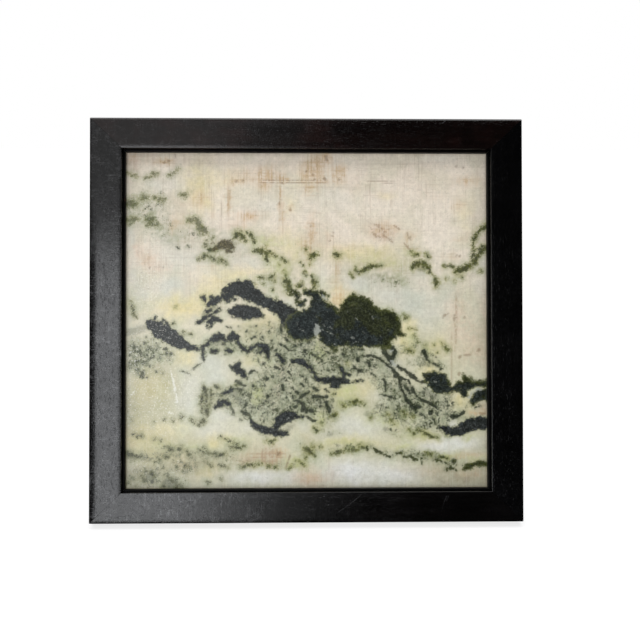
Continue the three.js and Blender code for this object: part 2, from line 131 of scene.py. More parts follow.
# ---------------------------------------------------------------- the stone's figure
# All of it is drawn in a drawing plane of 640 units a side in which
# the visible stone spans 126 to 487 across and 153 to 488 down. A stroke is a
# list of (x, y, half-width) points.
SLATE = [
    # the long ridge that falls from the upper left into the middle
    [(223, 292, 1.6), (226, 290.4, 3.4), (231, 289.4, 5.6), (238, 289, 7.8), (246, 290.6, 8.4), (254, 296, 7.2), (262, 301, 5.8), (270, 304.6, 5.6), (277, 307.6, 6.6), (284, 312.6, 8.2), (290, 319, 9.8), (298, 326, 12)],
    [(240, 282.6, 1.6), (246, 283, 1.8)], [(255, 291, 1.6), (262, 295.6, 1.4)],
    # the lens under it
    [(231, 312.6, 3.2), (236, 312, 5.8), (243, 312.4, 6.9), (251, 313, 6.3), (258, 314.6, 3.8), (262, 316.4, 1.6)],
    # pieces at its left
    [(203, 297.6, 1.9), (204.6, 302, 1.9)], [(208, 305, 2.2), (212, 303, 3.8), (217, 300.4, 3.4), (220, 298, 1.7)], [(211, 298, 1.4), (214, 300, 1.8)],
    [(196.6, 324, 0.9), (201.6, 320.6, 1.5), (208, 316.4, 1.9), (214, 313, 1.7), (219, 309.6, 1.1)], [(206, 311.6, 1.4), (211, 310, 1.3)],
    [(209.6, 322, 2.6), (213, 319.6, 2.4)], [(217, 319.4, 2), (219.6, 320.6, 1.7)], [(208, 326.6, 1.5)],
    [(222, 296, 1.8), (225, 299, 2), (229, 301, 1.6)], [(226, 294, 2.4), (231, 297.6, 1.8)], [(234, 300, 1.2)],
    # the ridge at the left edge
    [(148.6, 323, 2.4), (152.6, 325.6, 5.4), (158.6, 329.6, 7.8), (166, 334, 8), (174, 339, 6.6), (182, 344, 4.6), (190, 347.6, 2.5), (198, 349.6, 1.2)],
    [(151.6, 320.6, 1.3), (154.6, 318.6, 1.3)], [(163, 321, 1.4), (167, 324.6, 1.4)],
    [(203.6, 347, 1.7), (208.6, 342, 2.6), (214, 338.4, 3.2), (220, 337.2, 3.2), (226, 339.4, 1.3)],
    [(229, 338.6, 2.3), (233, 336.6, 3.6), (236.6, 338.6, 2.9)], [(236.6, 342, 1.5), (239.6, 345.4, 1.3), (243, 349.6, 1.7), (247, 350.6, 2.3), (251, 347.6, 1.7), (256, 345.4, 1.3)],
    [(259, 345.6, 2), (264, 347, 2.8), (266, 352, 2.5), (267.6, 357, 1.7)], [(260.5, 353.5, 1.5)], [(226, 350.6, 1.5), (231, 351.6, 1.7)], [(212, 352, 1.3), (216, 350.6, 1.3)],
    [(202.6, 350, 1.5), (203, 355, 1.3), (203.6, 360, 1)],
    # small lenses of the middle
    [(231.6, 368, 1.8), (236.6, 366.6, 2.9), (239, 363, 1.4)], [(238.6, 370, 4), (243, 373, 2.4), (244, 377, 1.3)],
    [(214, 408, 1.1), (217.6, 404.4, 2.7), (222, 402, 2.9), (226, 402.4, 2.3), (229.8, 404.6, 1)], [(222, 394, 0.9), (226, 392, 1.5), (231.4, 389.2, 1.2)],
    [(275.5, 355, 1.4), (280, 357.6, 2.4), (282.4, 361.6, 2.1)],
    [(293.6, 362, 2.9), (300, 362.2, 3), (306, 365, 2.2), (310.6, 369, 2), (313.4, 373, 1.7), (314.6, 377.6, 1.8), (320, 380.4, 2.4), (326, 380.8, 3.5), (334, 381, 3.7), (341, 381.2, 3.2), (347.6, 382.6, 1.4)],
    [(331, 385.4, 2), (337.4, 386, 2)], [(352.6, 382.4, 0.9), (357, 382, 1.1), (362.6, 381.2, 0.9)],
    [(339, 367, 1.2), (342, 371, 1.4), (344.6, 374.6, 1.2), (349, 375, 1)],
    # low middle lens and its wing
    [(248.6, 417.6, 1), (251.6, 422, 2), (256, 426.4, 2.8), (262, 429.6, 3.2), (268.6, 431, 3.5), (275, 432.8, 3.7), (281, 434.2, 2.7), (286.4, 433, 1.3)],
    [(275, 428, 3), (279, 421.4, 5), (285, 417, 6.4), (291, 415.8, 5), (297, 416.8, 2.5), (301, 417.6, 1)],
    # low right ridge
    [(440, 427.6, 1.7), (445, 429.8, 3.2), (451.6, 432.4, 4.2), (459, 432, 4.8), (465, 428, 6.2), (472, 424.6, 6.2), (480, 423.8, 6), (490, 423.8, 5)],
]
COAL = [
    # central mass, with its horns
    [(304.6, 293, 1.5), (309, 293.6, 2.8), (314.6, 295, 3.2), (317, 300, 3.4)], [(290.6, 292.6, 1.5), (294.6, 293.4, 2.6), (297, 297.6, 1.9)], [(296.6, 302, 1.9), (300, 304, 2.4), (302.6, 301.6, 1.9)],
    [(319.6, 293.6, 1.3), (323.6, 295, 1.5), (327, 296.6, 1)], [(315, 304, 4.4), (320, 306, 6.4), (327, 310, 5.8), (333, 313, 4.6)],
    [(299, 327, 12.6), (306, 326, 13), (312, 318, 8.8), (318, 312, 8.4), (324, 314, 7.8)], [(311, 313, 4.4), (306, 316, 4.4)],
    [(322, 318, 8), (330, 322, 10.6), (340, 326, 14.4), (350, 322, 16.4), (360, 320, 16.6), (368, 322, 16.4), (376, 330, 13.6), (384, 334, 10.6)],
    [(345, 308, 4.6), (348, 302.6, 3.6), (353, 299.8, 3.6), (360, 302, 4.6), (367, 306, 5.6)], [(353.4, 295.6, 1.1)], [(342, 311, 2.4)],
    [(322, 332, 5), (328, 338, 5.8), (336, 339.6, 6.6), (346, 337.6, 8.6), (358, 337.6, 8.6), (368, 337.6, 8.6), (378, 339.6, 7.6), (385, 342, 5.6)],
    [(322, 339, 2.3), (327, 344, 2.3), (332, 348, 1.4), (336, 350.6, 0.9)],
    [(384, 316, 4.4), (389, 318, 6.3), (393, 324, 6.3), (394.6, 330, 4.8), (399.6, 333.6, 2.3), (403, 336, 1)],
    # right masses
    [(427.6, 377.6, 3.8), (434, 378.6, 5.3), (441, 380.6, 6.1), (446, 385, 4.4), (448.6, 388.6, 2.5)], [(433, 384.6, 4.2), (439, 388.6, 4), (445, 389.6, 3), (452, 389.6, 1.7), (458, 388.6, 1.5)],
    [(464.4, 377.6, 1.7), (466, 381.6, 3.6)], [(456, 388, 1.9), (460.6, 385.4, 3.8), (466, 385, 5.3), (472, 385, 3.8), (479, 384.2, 2.3), (490, 384, 3)], [(462.6, 390.6, 3.4), (464.6, 395.6, 1.9)], [(469.4, 378.8, 1.2)],
    [(472.6, 404.4, 1.4), (475, 398.6, 3), (480, 395.6, 4.2), (490, 394, 6.4)],
    # the dark vein of the lower right, where it meets the frame
    [(463.6, 470, 1.0), (467, 467.2, 1.9), (472, 465.8, 1.5), (477, 464, 1.3), (482, 464, 1.4), (490, 466.6, 1.8)],
]
# thin dark threads and crumbs
THREAD = [
    [(358, 357, 0.9), (363, 356, 1.4), (370, 356, 1.5), (376, 357.6, 1.5), (381, 360.6, 1.5)], [(381, 361, 1.4), (387, 365.6, 1.5), (393, 371, 1.5), (398, 376, 1.3)],
    [(383, 349.6, 2.8), (385, 355, 3), (388.6, 359, 2.6), (393, 356.6, 2.6), (394.6, 351.6, 2.4), (391, 347.6, 2.4), (386, 346.6, 2.4)], [(389.6, 360.6, 1.7), (390.4, 364, 1.2)],
    [(397, 367, 1.5), (401.6, 369.4, 1.7), (407, 373, 2.1), (412, 376.6, 2.5), (416, 379, 1.5)], [(416, 381, 1.5), (421, 382.4, 1.9), (426, 382, 2.2)],
    [(394, 376.4, 1.4), (399, 378, 1.6), (404, 380, 1.4)], [(398.4, 378, 1.9), (399.4, 383, 1.7), (401, 389, 1.5), (403.4, 395, 1.5), (406, 401, 1.7), (410, 405, 2.1), (414, 408, 2.3), (416, 411.6, 1.7)],
    [(407.6, 381, 1.3), (410.4, 386, 1.4), (413, 391, 1.6), (415.6, 396, 1.3)], [(404, 386, 0.9), (407, 390.4, 1.1), (409.6, 394, 1)],
    [(419.6, 399, 1.1), (424.6, 402, 1.6), (430.6, 405, 1.5), (436, 408, 1.1)], [(407, 401, 1.5), (412, 404, 1.7), (417.4, 406.6, 1.6), (422, 407.8, 1)],
    [(382.6, 379.6, 0.9), (384.8, 385, 1.1), (385, 391.6, 1.2)], [(379.6, 394.6, 1.1), (385.6, 396, 1.5), (391, 397.6, 1.3), (394.4, 399.4, 0.9)],
    [(430.6, 413, 2.8)], [(433, 419, 1.3), (436, 424.6, 1.1)], [(451.6, 417, 1.7), (456.6, 417.6, 2.1), (461.6, 414.6, 1.7), (464, 412, 1.1)], [(446, 414.6, 1)], [(441, 410.6, 1)], [(466, 407, 0.9)],
    [(474.4, 408, 1.7)], [(479.6, 406.4, 1.2)], [(423.6, 351, 1.9), (425, 355.6, 2.2), (426.6, 359, 1.5)], [(440.6, 369.6, 1.7)], [(427, 361, 0.9), (432, 363.6, 1.3), (437, 366, 0.9)], [(436, 358, 1)], [(433, 372, 1)],
    [(351, 369.2, 1.6), (354, 368, 2.3), (357.4, 370.8, 1.7), (361.4, 370.7, 1.7)], [(356, 357, 0.9), (357.6, 361, 2.1), (360, 363, 1.2)], [(342, 354, 1.5), (344.5, 357.5, 1.2)], [(347, 348, 1.5)], [(359, 349, 1.2), (364, 350, 1)], [(366, 363, 1.4)],
    [(275.5, 350.5, 1.9)], [(280, 345.2, 1.6)], [(284, 347, 0.9), (288, 350.6, 1.5), (292, 351.4, 1)], [(291.6, 348, 1), (295, 346.5, 1.3)], [(304.5, 350.6, 1.5), (306.5, 354, 1)], [(271, 341, 1.2)], [(262, 337, 1)],
    [(286.6, 340.5, 1.8)], [(280.5, 325, 0.9), (280.5, 331, 0.9)], [(251, 339, 1.2), (254.6, 337.6, 1.4)], [(226.6, 327, 0.9), (231, 327.6, 0.9)], [(246, 332, 1.2)], [(238, 327, 1)], [(268, 331, 1)], [(256, 326, 1)],
    [(290, 387, 1), (294, 390.6, 1.2), (298, 394, 1.6)], [(299.6, 397.6, 1.9), (304, 395, 2.5), (308, 392, 1.5)], [(310, 397.6, 1), (316, 396.4, 1.3), (322, 397.6, 1.5), (327, 396.6, 0.9)],
    [(294, 401, 1), (298, 401.4, 1.5), (302, 404, 2), (303, 409, 1.8), (301, 412, 1.4)], [(306, 411, 2.1), (311, 411, 2.3)], [(307, 417, 1.7), (311, 420, 2.1), (315, 421.6, 1.5)], [(320, 407, 1.8)], [(290, 406, 1.1), (289, 410, 1)],
    [(325.6, 402, 1.2), (326.4, 407, 1.9), (328.4, 411.6, 1.7)], [(230.6, 407, 1), (233, 411, 1.4), (234, 416, 1.1)], [(241, 411.6, 1.5), (246, 413.6, 1.9), (249, 416, 1.2)], [(246, 403, 1), (244.6, 407, 1.2)], [(240.6, 420, 1.4)],
    [(254, 370.6, 0.9), (251, 371.6, 1.1), (248.6, 373.4, 1)], [(281.8, 386, 1.3), (282.4, 390.6, 1.5)], [(253, 385.6, 1.8)], [(242.4, 394.4, 1.7)], [(267.6, 396, 1.2)], [(266, 379, 2.2)], [(272, 405, 1.1)], [(262, 403, 1)], [(258, 391, 1)],
    [(215, 386.6, 1.2), (218.4, 388.4, 1.1)], [(236, 389, 1.2), (241.6, 390.4, 1.2)], [(236, 381, 1.2), (240, 384, 1.4), (245, 386, 1.1)], [(247, 378, 1.2)], [(233, 397, 1.1)], [(235, 402.6, 1.2)],
    [(222.6, 344, 1.4), (226, 348.6, 1.2)], [(318, 363, 0.9), (322, 361, 1.2)], [(311, 354, 1), (314, 357, 1.1)], [(299, 375, 1), (303, 377, 1.1)], [(288, 372, 1), (290.6, 376, 1)], [(325, 351.6, 1.1), (329, 354, 1)], [(368, 361, 1), (369, 366.6, 1.1)],
    [(371, 374, 0.9), (375, 377, 0.9)], [(300, 384, 1.2), (303, 387, 1.2)], [(313, 388, 1), (317, 390, 1.2)], [(324, 390, 1), (329, 391.6, 1)], [(334.6, 394.6, 1.2)], [(321, 371, 1.1)], [(327.6, 371, 1.5)], [(274, 366, 1), (279, 369, 1.1)], [(263, 364, 1.1)],
    [(141, 354.4, 1.9)], [(144, 343, 1.2)], [(150, 349, 1.4)], [(157, 349, 1.6)], [(165, 349, 1.8)], [(167, 353, 1.7)], [(160, 358, 1.4)], [(138, 352, 1.1)], [(134, 346, 1)], [(136, 361, 1.3)], [(143, 364, 1.3)], [(150, 366, 1.1)], [(138, 369, 1.5)], [(143, 372, 1.4)],
    [(156, 372, 1.2)], [(163, 373, 1.2)], [(141.6, 376, 2.1)], [(147, 378, 1)], [(130, 356, 1)], [(131, 368, 1)], [(153, 340, 1)], [(146, 337, 1)], [(171, 353.6, 1)], [(154, 356, 1)], [(148, 359, 1)],
    [(180, 370.6, 0.8), (185, 372.4, 0.9), (190, 374.4, 0.9)], [(192.6, 369, 1), (196, 366.4, 1.2), (199.6, 363.6, 0.9)],
    [(160, 193.4, 1)], [(158, 204, 0.9)], [(155.4, 206.4, 0.9)], [(151, 209.5, 0.8)], [(175.6, 247.2, 0.4), (178.2, 248.8, 1)], [(187.4, 246.6, 0.4), (189.4, 247.4, 0.8)],
    [(371, 448, 0.9), (376, 450.6, 1.7), (381, 453.2, 1.5), (386, 456, 1.2), (390.6, 457.8, 0.9)], [(365.6, 447, 1.4), (366.6, 450, 1.1)],
    # the crumbs of the lower right vein
    [(396.6, 454, 1.4), (400, 453, 1.6)], [(402.6, 457, 1.1), (407, 457.6, 1)], [(410, 456.6, 1.5), (413, 459.6, 1.5), (416, 459.6, 1.2)], [(418, 454.6, 1), (422, 455.4, 1.1)], [(421, 459, 0.8), (421.6, 465, 0.7)], [(433, 460.8, 1.3), (437, 460.2, 1.5), (441, 461.8, 1.2)],
    [(440.6, 457.6, 1), (446, 458.6, 1.1)], [(454, 461.6, 1.9)], [(445.6, 469.6, 1.5), (446.6, 471.4, 1.2)], [(449, 468, 1.2), (454.6, 470.2, 1.3)], [(444, 463, 0.8), (450, 466, 0.9)], [(403, 462, 0.7)], [(462, 466, 0.8)], [(427, 460, 0.7)],
]
OLIVE = [
    # upper left
    [(186.6, 221.6, 1.3), (191, 221, 2), (196, 221.4, 2.4), (199, 225, 2.4), (203, 229.4, 2.6), (206, 233, 1.9)], [(197.6, 227.6, 1.4), (201.6, 233, 1.6)], [(194, 219, 1.2), (197, 219.6, 1.2)],
    [(180.6, 194.8, 1.2), (184, 196, 1.8), (187, 193.8, 1.3)], [(140.4, 200, 1.7), (144, 199, 2.4), (147.6, 198, 1.6)], [(153.6, 198, 1.7), (157, 199, 2.3), (161, 199.6, 1.9), (164, 200.4, 1.6)], [(126, 203.6, 3), (130, 204, 3.6), (135, 204.4, 3.2)],
    [(127, 220.6, 2.4), (132, 220, 2.6), (137, 219.4, 1.6)], [(147, 220.6, 2.2), (151, 219.4, 2.7)], [(147.6, 225, 1.8), (151, 223.6, 1.8), (157.6, 225.6, 1.5)], [(130, 225, 1.6)],
    [(126, 173, 0.9), (131, 175.6, 1), (137, 177, 0.9)], [(145, 178.6, 1.1), (150, 177, 1)], [(152, 174.6, 1.5), (157, 174, 1.5)], [(168, 176, 1), (173, 173.6, 1.1), (178, 169.6, 1)],
    [(233.6, 238, 1.4), (236.6, 234.6, 2.4), (240, 233.6, 2.6), (242, 237.4, 3.2), (244.4, 240, 2.2)], [(236, 231, 1.3)], [(247, 232, 1.3), (250.6, 234.6, 1.6), (252.6, 238.6, 1.2), (254, 243, 1)],
    [(205.6, 245.6, 1.8)], [(209, 250, 1.8), (213.4, 250.6, 2)], [(207, 240, 1.1)], [(212, 238.6, 1.2)], [(198, 259.6, 1.3), (202, 257.6, 1.8), (206.4, 255.6, 1.5)], [(210, 257, 1), (214, 259.8, 1.2)], [(219.5, 259.4, 1.4), (223, 262, 1.8), (226, 264, 1.2)],
    [(254, 250.6, 1.6), (258, 250.8, 2.6), (262.4, 251.6, 3.2), (266, 254, 3.2), (266, 258, 2.2), (266.4, 261, 1.4)], [(268.6, 252.6, 1.8), (272, 254.6, 2), (275.6, 257, 1.2)], [(265, 246, 1.2)],
    [(281.6, 259.4, 1.2), (285.6, 262.6, 1.4)], [(278.6, 265, 1)],
    # above the ridge
    [(258.6, 278.6, 1.2), (262.4, 278.4, 1.3)], [(270.4, 278, 1.4), (274, 276.2, 1.4)], [(274.4, 281.6, 1.3)], [(272.6, 290, 1.2)], [(262, 283.6, 1)], [(255, 285, 1)], [(283.6, 272, 1.1), (285.6, 275, 1)],
    [(284, 280.6, 2), (287, 283.6, 2.6), (288.6, 288, 2.9), (287.6, 292.4, 2.2)], [(296.6, 287.4, 2), (299.6, 286, 3), (300.6, 282.6, 1.4)], [(304, 273, 1.9), (304.6, 275, 1.4)], [(305.4, 250, 1.2)],
    [(308.6, 258.8, 1.7), (311.5, 256.4, 2.2), (315, 255, 2.4), (317.8, 254.6, 1.3)], [(335, 254.6, 2.2), (338.6, 256.4, 2.2)], [(340, 254.6, 1.3)], [(311.6, 277.4, 1.8), (313.4, 282, 2.4), (313.6, 286, 2.4), (311.6, 289.6, 1.8)], [(303.4, 290, 1.8)], [(308.6, 265, 1.1)],
    [(317, 297.6, 1.6)], [(300, 262, 1)], [(302.6, 266, 1)], [(275, 298.6, 1)],
    [(350.4, 273, 1.5), (352.6, 276.6, 1.5)], [(356, 271.4, 1.8), (360, 272, 2.3), (364, 270.4, 2.1), (368, 267.6, 2), (373, 266.4, 2), (378, 266, 1.8), (381.6, 265.6, 1.2)], [(355, 268, 1.3)],
    [(330, 309, 1.9)], [(381, 311.6, 2), (386, 311.8, 2.6), (391, 313.6, 1.9)], [(345, 304, 2.2), (349.6, 299, 2.1), (353, 295.6, 1.5)], [(398, 318, 1.5)],
    [(412.6, 268, 2.2), (415.6, 264.6, 3.1), (420, 263.4, 3.1), (425, 265, 3.1), (428.6, 268.6, 2.7), (429.8, 273, 1.7), (432.6, 276, 1.1)], [(435, 278.6, 1.6), (436, 282.6, 3.1), (435.4, 286.4, 1.8)],
    [(412, 252.6, 1.4), (415, 254.8, 1.6), (418, 255, 1.2)], [(425, 254.6, 1), (428.6, 257.6, 1.2)],
    [(444, 267, 1.1), (449, 265.4, 1.5), (453, 266.8, 1.5)], [(455.6, 271.6, 2.2), (459, 270.4, 2.9), (465, 268.6, 3.1), (470, 266, 3.3), (474, 262.6, 2.9), (477, 258, 2.4), (482, 252, 2.4), (490, 247, 2.8)],
    [(489, 222.6, 2.2), (484.6, 226.6, 2.4), (480, 231, 2.2), (476.6, 235.6, 2), (474.6, 240, 1.8), (474, 245, 1.5), (474.6, 250, 1.8)], [(472.4, 258, 1.2), (474, 253.6, 1.5)], [(478, 249, 1.2), (484, 246, 1.3)],
    [(462.6, 277, 1.5)], [(481, 271.6, 1.5)], [(446, 279, 1.2)], [(454, 281, 0.9)], [(457.4, 275, 1.3)], [(405.6, 317.6, 2.2)], [(403.6, 316, 1.3)],
    [(408.6, 329.4, 0.9), (414, 329.6, 1)], [(413.6, 336, 1.2)], [(406.6, 349.8, 1.2), (411, 351.2, 2.1)], [(441.6, 342.6, 1), (444, 346, 1.4), (447.6, 350.6, 1.5)], [(434, 345.5, 1)], [(437.6, 352.6, 1)], [(417, 342, 1.2)], [(425, 346, 1)],
    # left
    [(131, 302, 1), (132.5, 308, 1.2), (134, 313, 1.4), (136, 317, 1.5)], [(173.6, 323.4, 1.5)], [(175.6, 307.6, 1)], [(184, 332.6, 1.7)], [(190, 334, 1.1)],
    [(203, 386.6, 1.6), (205, 391, 1.4)], [(202, 396, 1.2), (201, 403, 1.3), (202, 411, 1.2)], [(206, 393, 1.1), (207, 401, 1.4), (207.6, 409, 2.1), (206.6, 414.6, 1.6)], [(210.4, 390, 1), (211, 397, 1.3), (210.6, 403, 1)], [(216, 386, 1.9), (218, 389, 1.5)], [(213.4, 393, 0.9)],
    [(191, 420, 1.7), (194.6, 422.6, 1.9)], [(199, 423.4, 2), (203, 421.4, 2.6)], [(181.6, 416.6, 1.6), (181, 420, 1.2)], [(173, 420, 1.2)], [(163, 420, 1), (165, 419, 1)], [(154, 421.6, 0.9)],
    [(132.6, 433.6, 1), (137, 435.4, 1.1), (142, 436, 0.8)], [(155, 438.4, 1.2)], [(161, 440, 1)], [(167, 446, 1.2), (170, 449, 1.6), (173, 450.6, 1)], [(179.6, 447.6, 2.3)], [(187, 451, 1.5), (188.6, 455, 1.3)],
    [(198, 449, 0.9), (203, 451.6, 1.1), (210, 453, 1.2), (216, 453.6, 1.2)], [(216, 455.4, 1.7), (220, 455, 1.9), (224.4, 453.6, 1.4)], [(204, 447, 1)], [(227.6, 445, 0.9), (232, 447.4, 1.5), (238, 448, 1.5), (244, 446, 0.9)], [(233, 442.6, 1), (237, 444, 1)],
    [(220, 436, 0.9), (225, 439, 1), (229, 441, 0.8)], [(205, 461, 1), (209, 464, 1.3), (211.6, 466.4, 1)], [(219, 465, 1.1), (223, 466, 1.4), (227.6, 468, 1)], [(220.6, 478.4, 1.4)], [(206, 481, 0.9), (210, 482.6, 0.9)],
    # crumbs of the lower left corner
    [(163, 454.6, 1)], [(168, 456.6, 1.9)], [(160, 459.4, 1.3)], [(155, 461.4, 1)], [(163, 467, 1.4)], [(176.6, 466.4, 1.4)], [(184, 465, 1.3), (188, 466, 1.3)], [(182, 470, 1)], [(176.6, 455, 1)],
    [(140.6, 475, 1.6), (143.6, 479.6, 2.2)], [(151.6, 472.6, 1.8), (153.6, 475.6, 1.6)], [(146, 471, 1)], [(129.6, 482, 2)], [(134, 478, 1)], [(137, 484, 1)], [(167, 476.6, 1.2), (172, 480, 1.8)], [(177, 487, 2.4), (183, 490, 2)], [(164, 485, 1.4)],
    [(128, 453, 2), (134, 454.6, 1.8), (141, 456.6, 1.2)], [(173.6, 461.6, 0.9)], [(192, 458, 0.9)], [(196, 463.6, 1)],
    # foot
    [(241, 467.6, 1.5), (246, 465.8, 1.5), (251, 465, 1.3), (257, 463.6, 1.2), (261.6, 464, 1.3)], [(268, 466, 1.7)], [(275, 467, 1)],
    [(267, 441, 1.3), (271.6, 441.6, 1.5), (274, 439.4, 0.9)], [(304, 449, 1.5), (308, 450.6, 2.6), (311, 453, 2.3), (314, 456, 1.2)], [(312.6, 446, 1.4)], [(320, 447, 1.1)], [(305, 457.6, 1.2)],
    [(299, 461, 1.1), (302, 464, 1.7), (304, 466.6, 1.2)], [(288, 468.6, 1), (291, 466.6, 1.3)], [(294.6, 461, 1.3)], [(316, 430, 2), (313, 427.6, 1.1)], [(320, 424, 1.2)], [(333, 417, 2.6), (336, 414, 1.5)],
    [(331, 454, 1.5), (336, 453.4, 1.9), (341, 452, 1.7), (344, 450.8, 1)], [(348, 449.6, 1), (352, 451, 1.7), (356, 449.6, 1)], [(359, 446.6, 1.2), (364, 447.6, 1.3)], [(342.6, 406, 2.5)], [(352, 402.6, 2.3), (356, 401, 1.5)], [(360, 403, 1.3), (364, 405, 1)],
    [(333, 394.4, 1.2)], [(425, 453, 1.1), (430, 455, 1.3)], [(440, 456.6, 1.1), (447, 459, 1)], [(418, 430.6, 1), (424, 433.6, 1.4), (430, 437, 1.4), (437, 438.4, 1)], [(408, 430, 0.8), (414, 434, 1)], [(447, 436, 1)],
    [(387, 415, 1)], [(390.6, 421, 1.1)], [(402, 413, 1.3), (405, 415.4, 1.4)], [(412.6, 417, 1.1)], [(370, 417, 1)], [(395, 424, 1)], [(235.6, 385, 1.1)], [(347, 364.6, 1)],
]
# the dark brown patch of the upper left
UMBER = [
    [(217.6, 247, 2), (221, 245.6, 3.8), (225, 244.4, 4.6), (229, 245.6, 4.2), (232, 247, 2.2)], [(212, 244, 0.8)], [(215, 249.6, 1.2)], [(226, 251.6, 1), (231, 251, 1.2)],
]
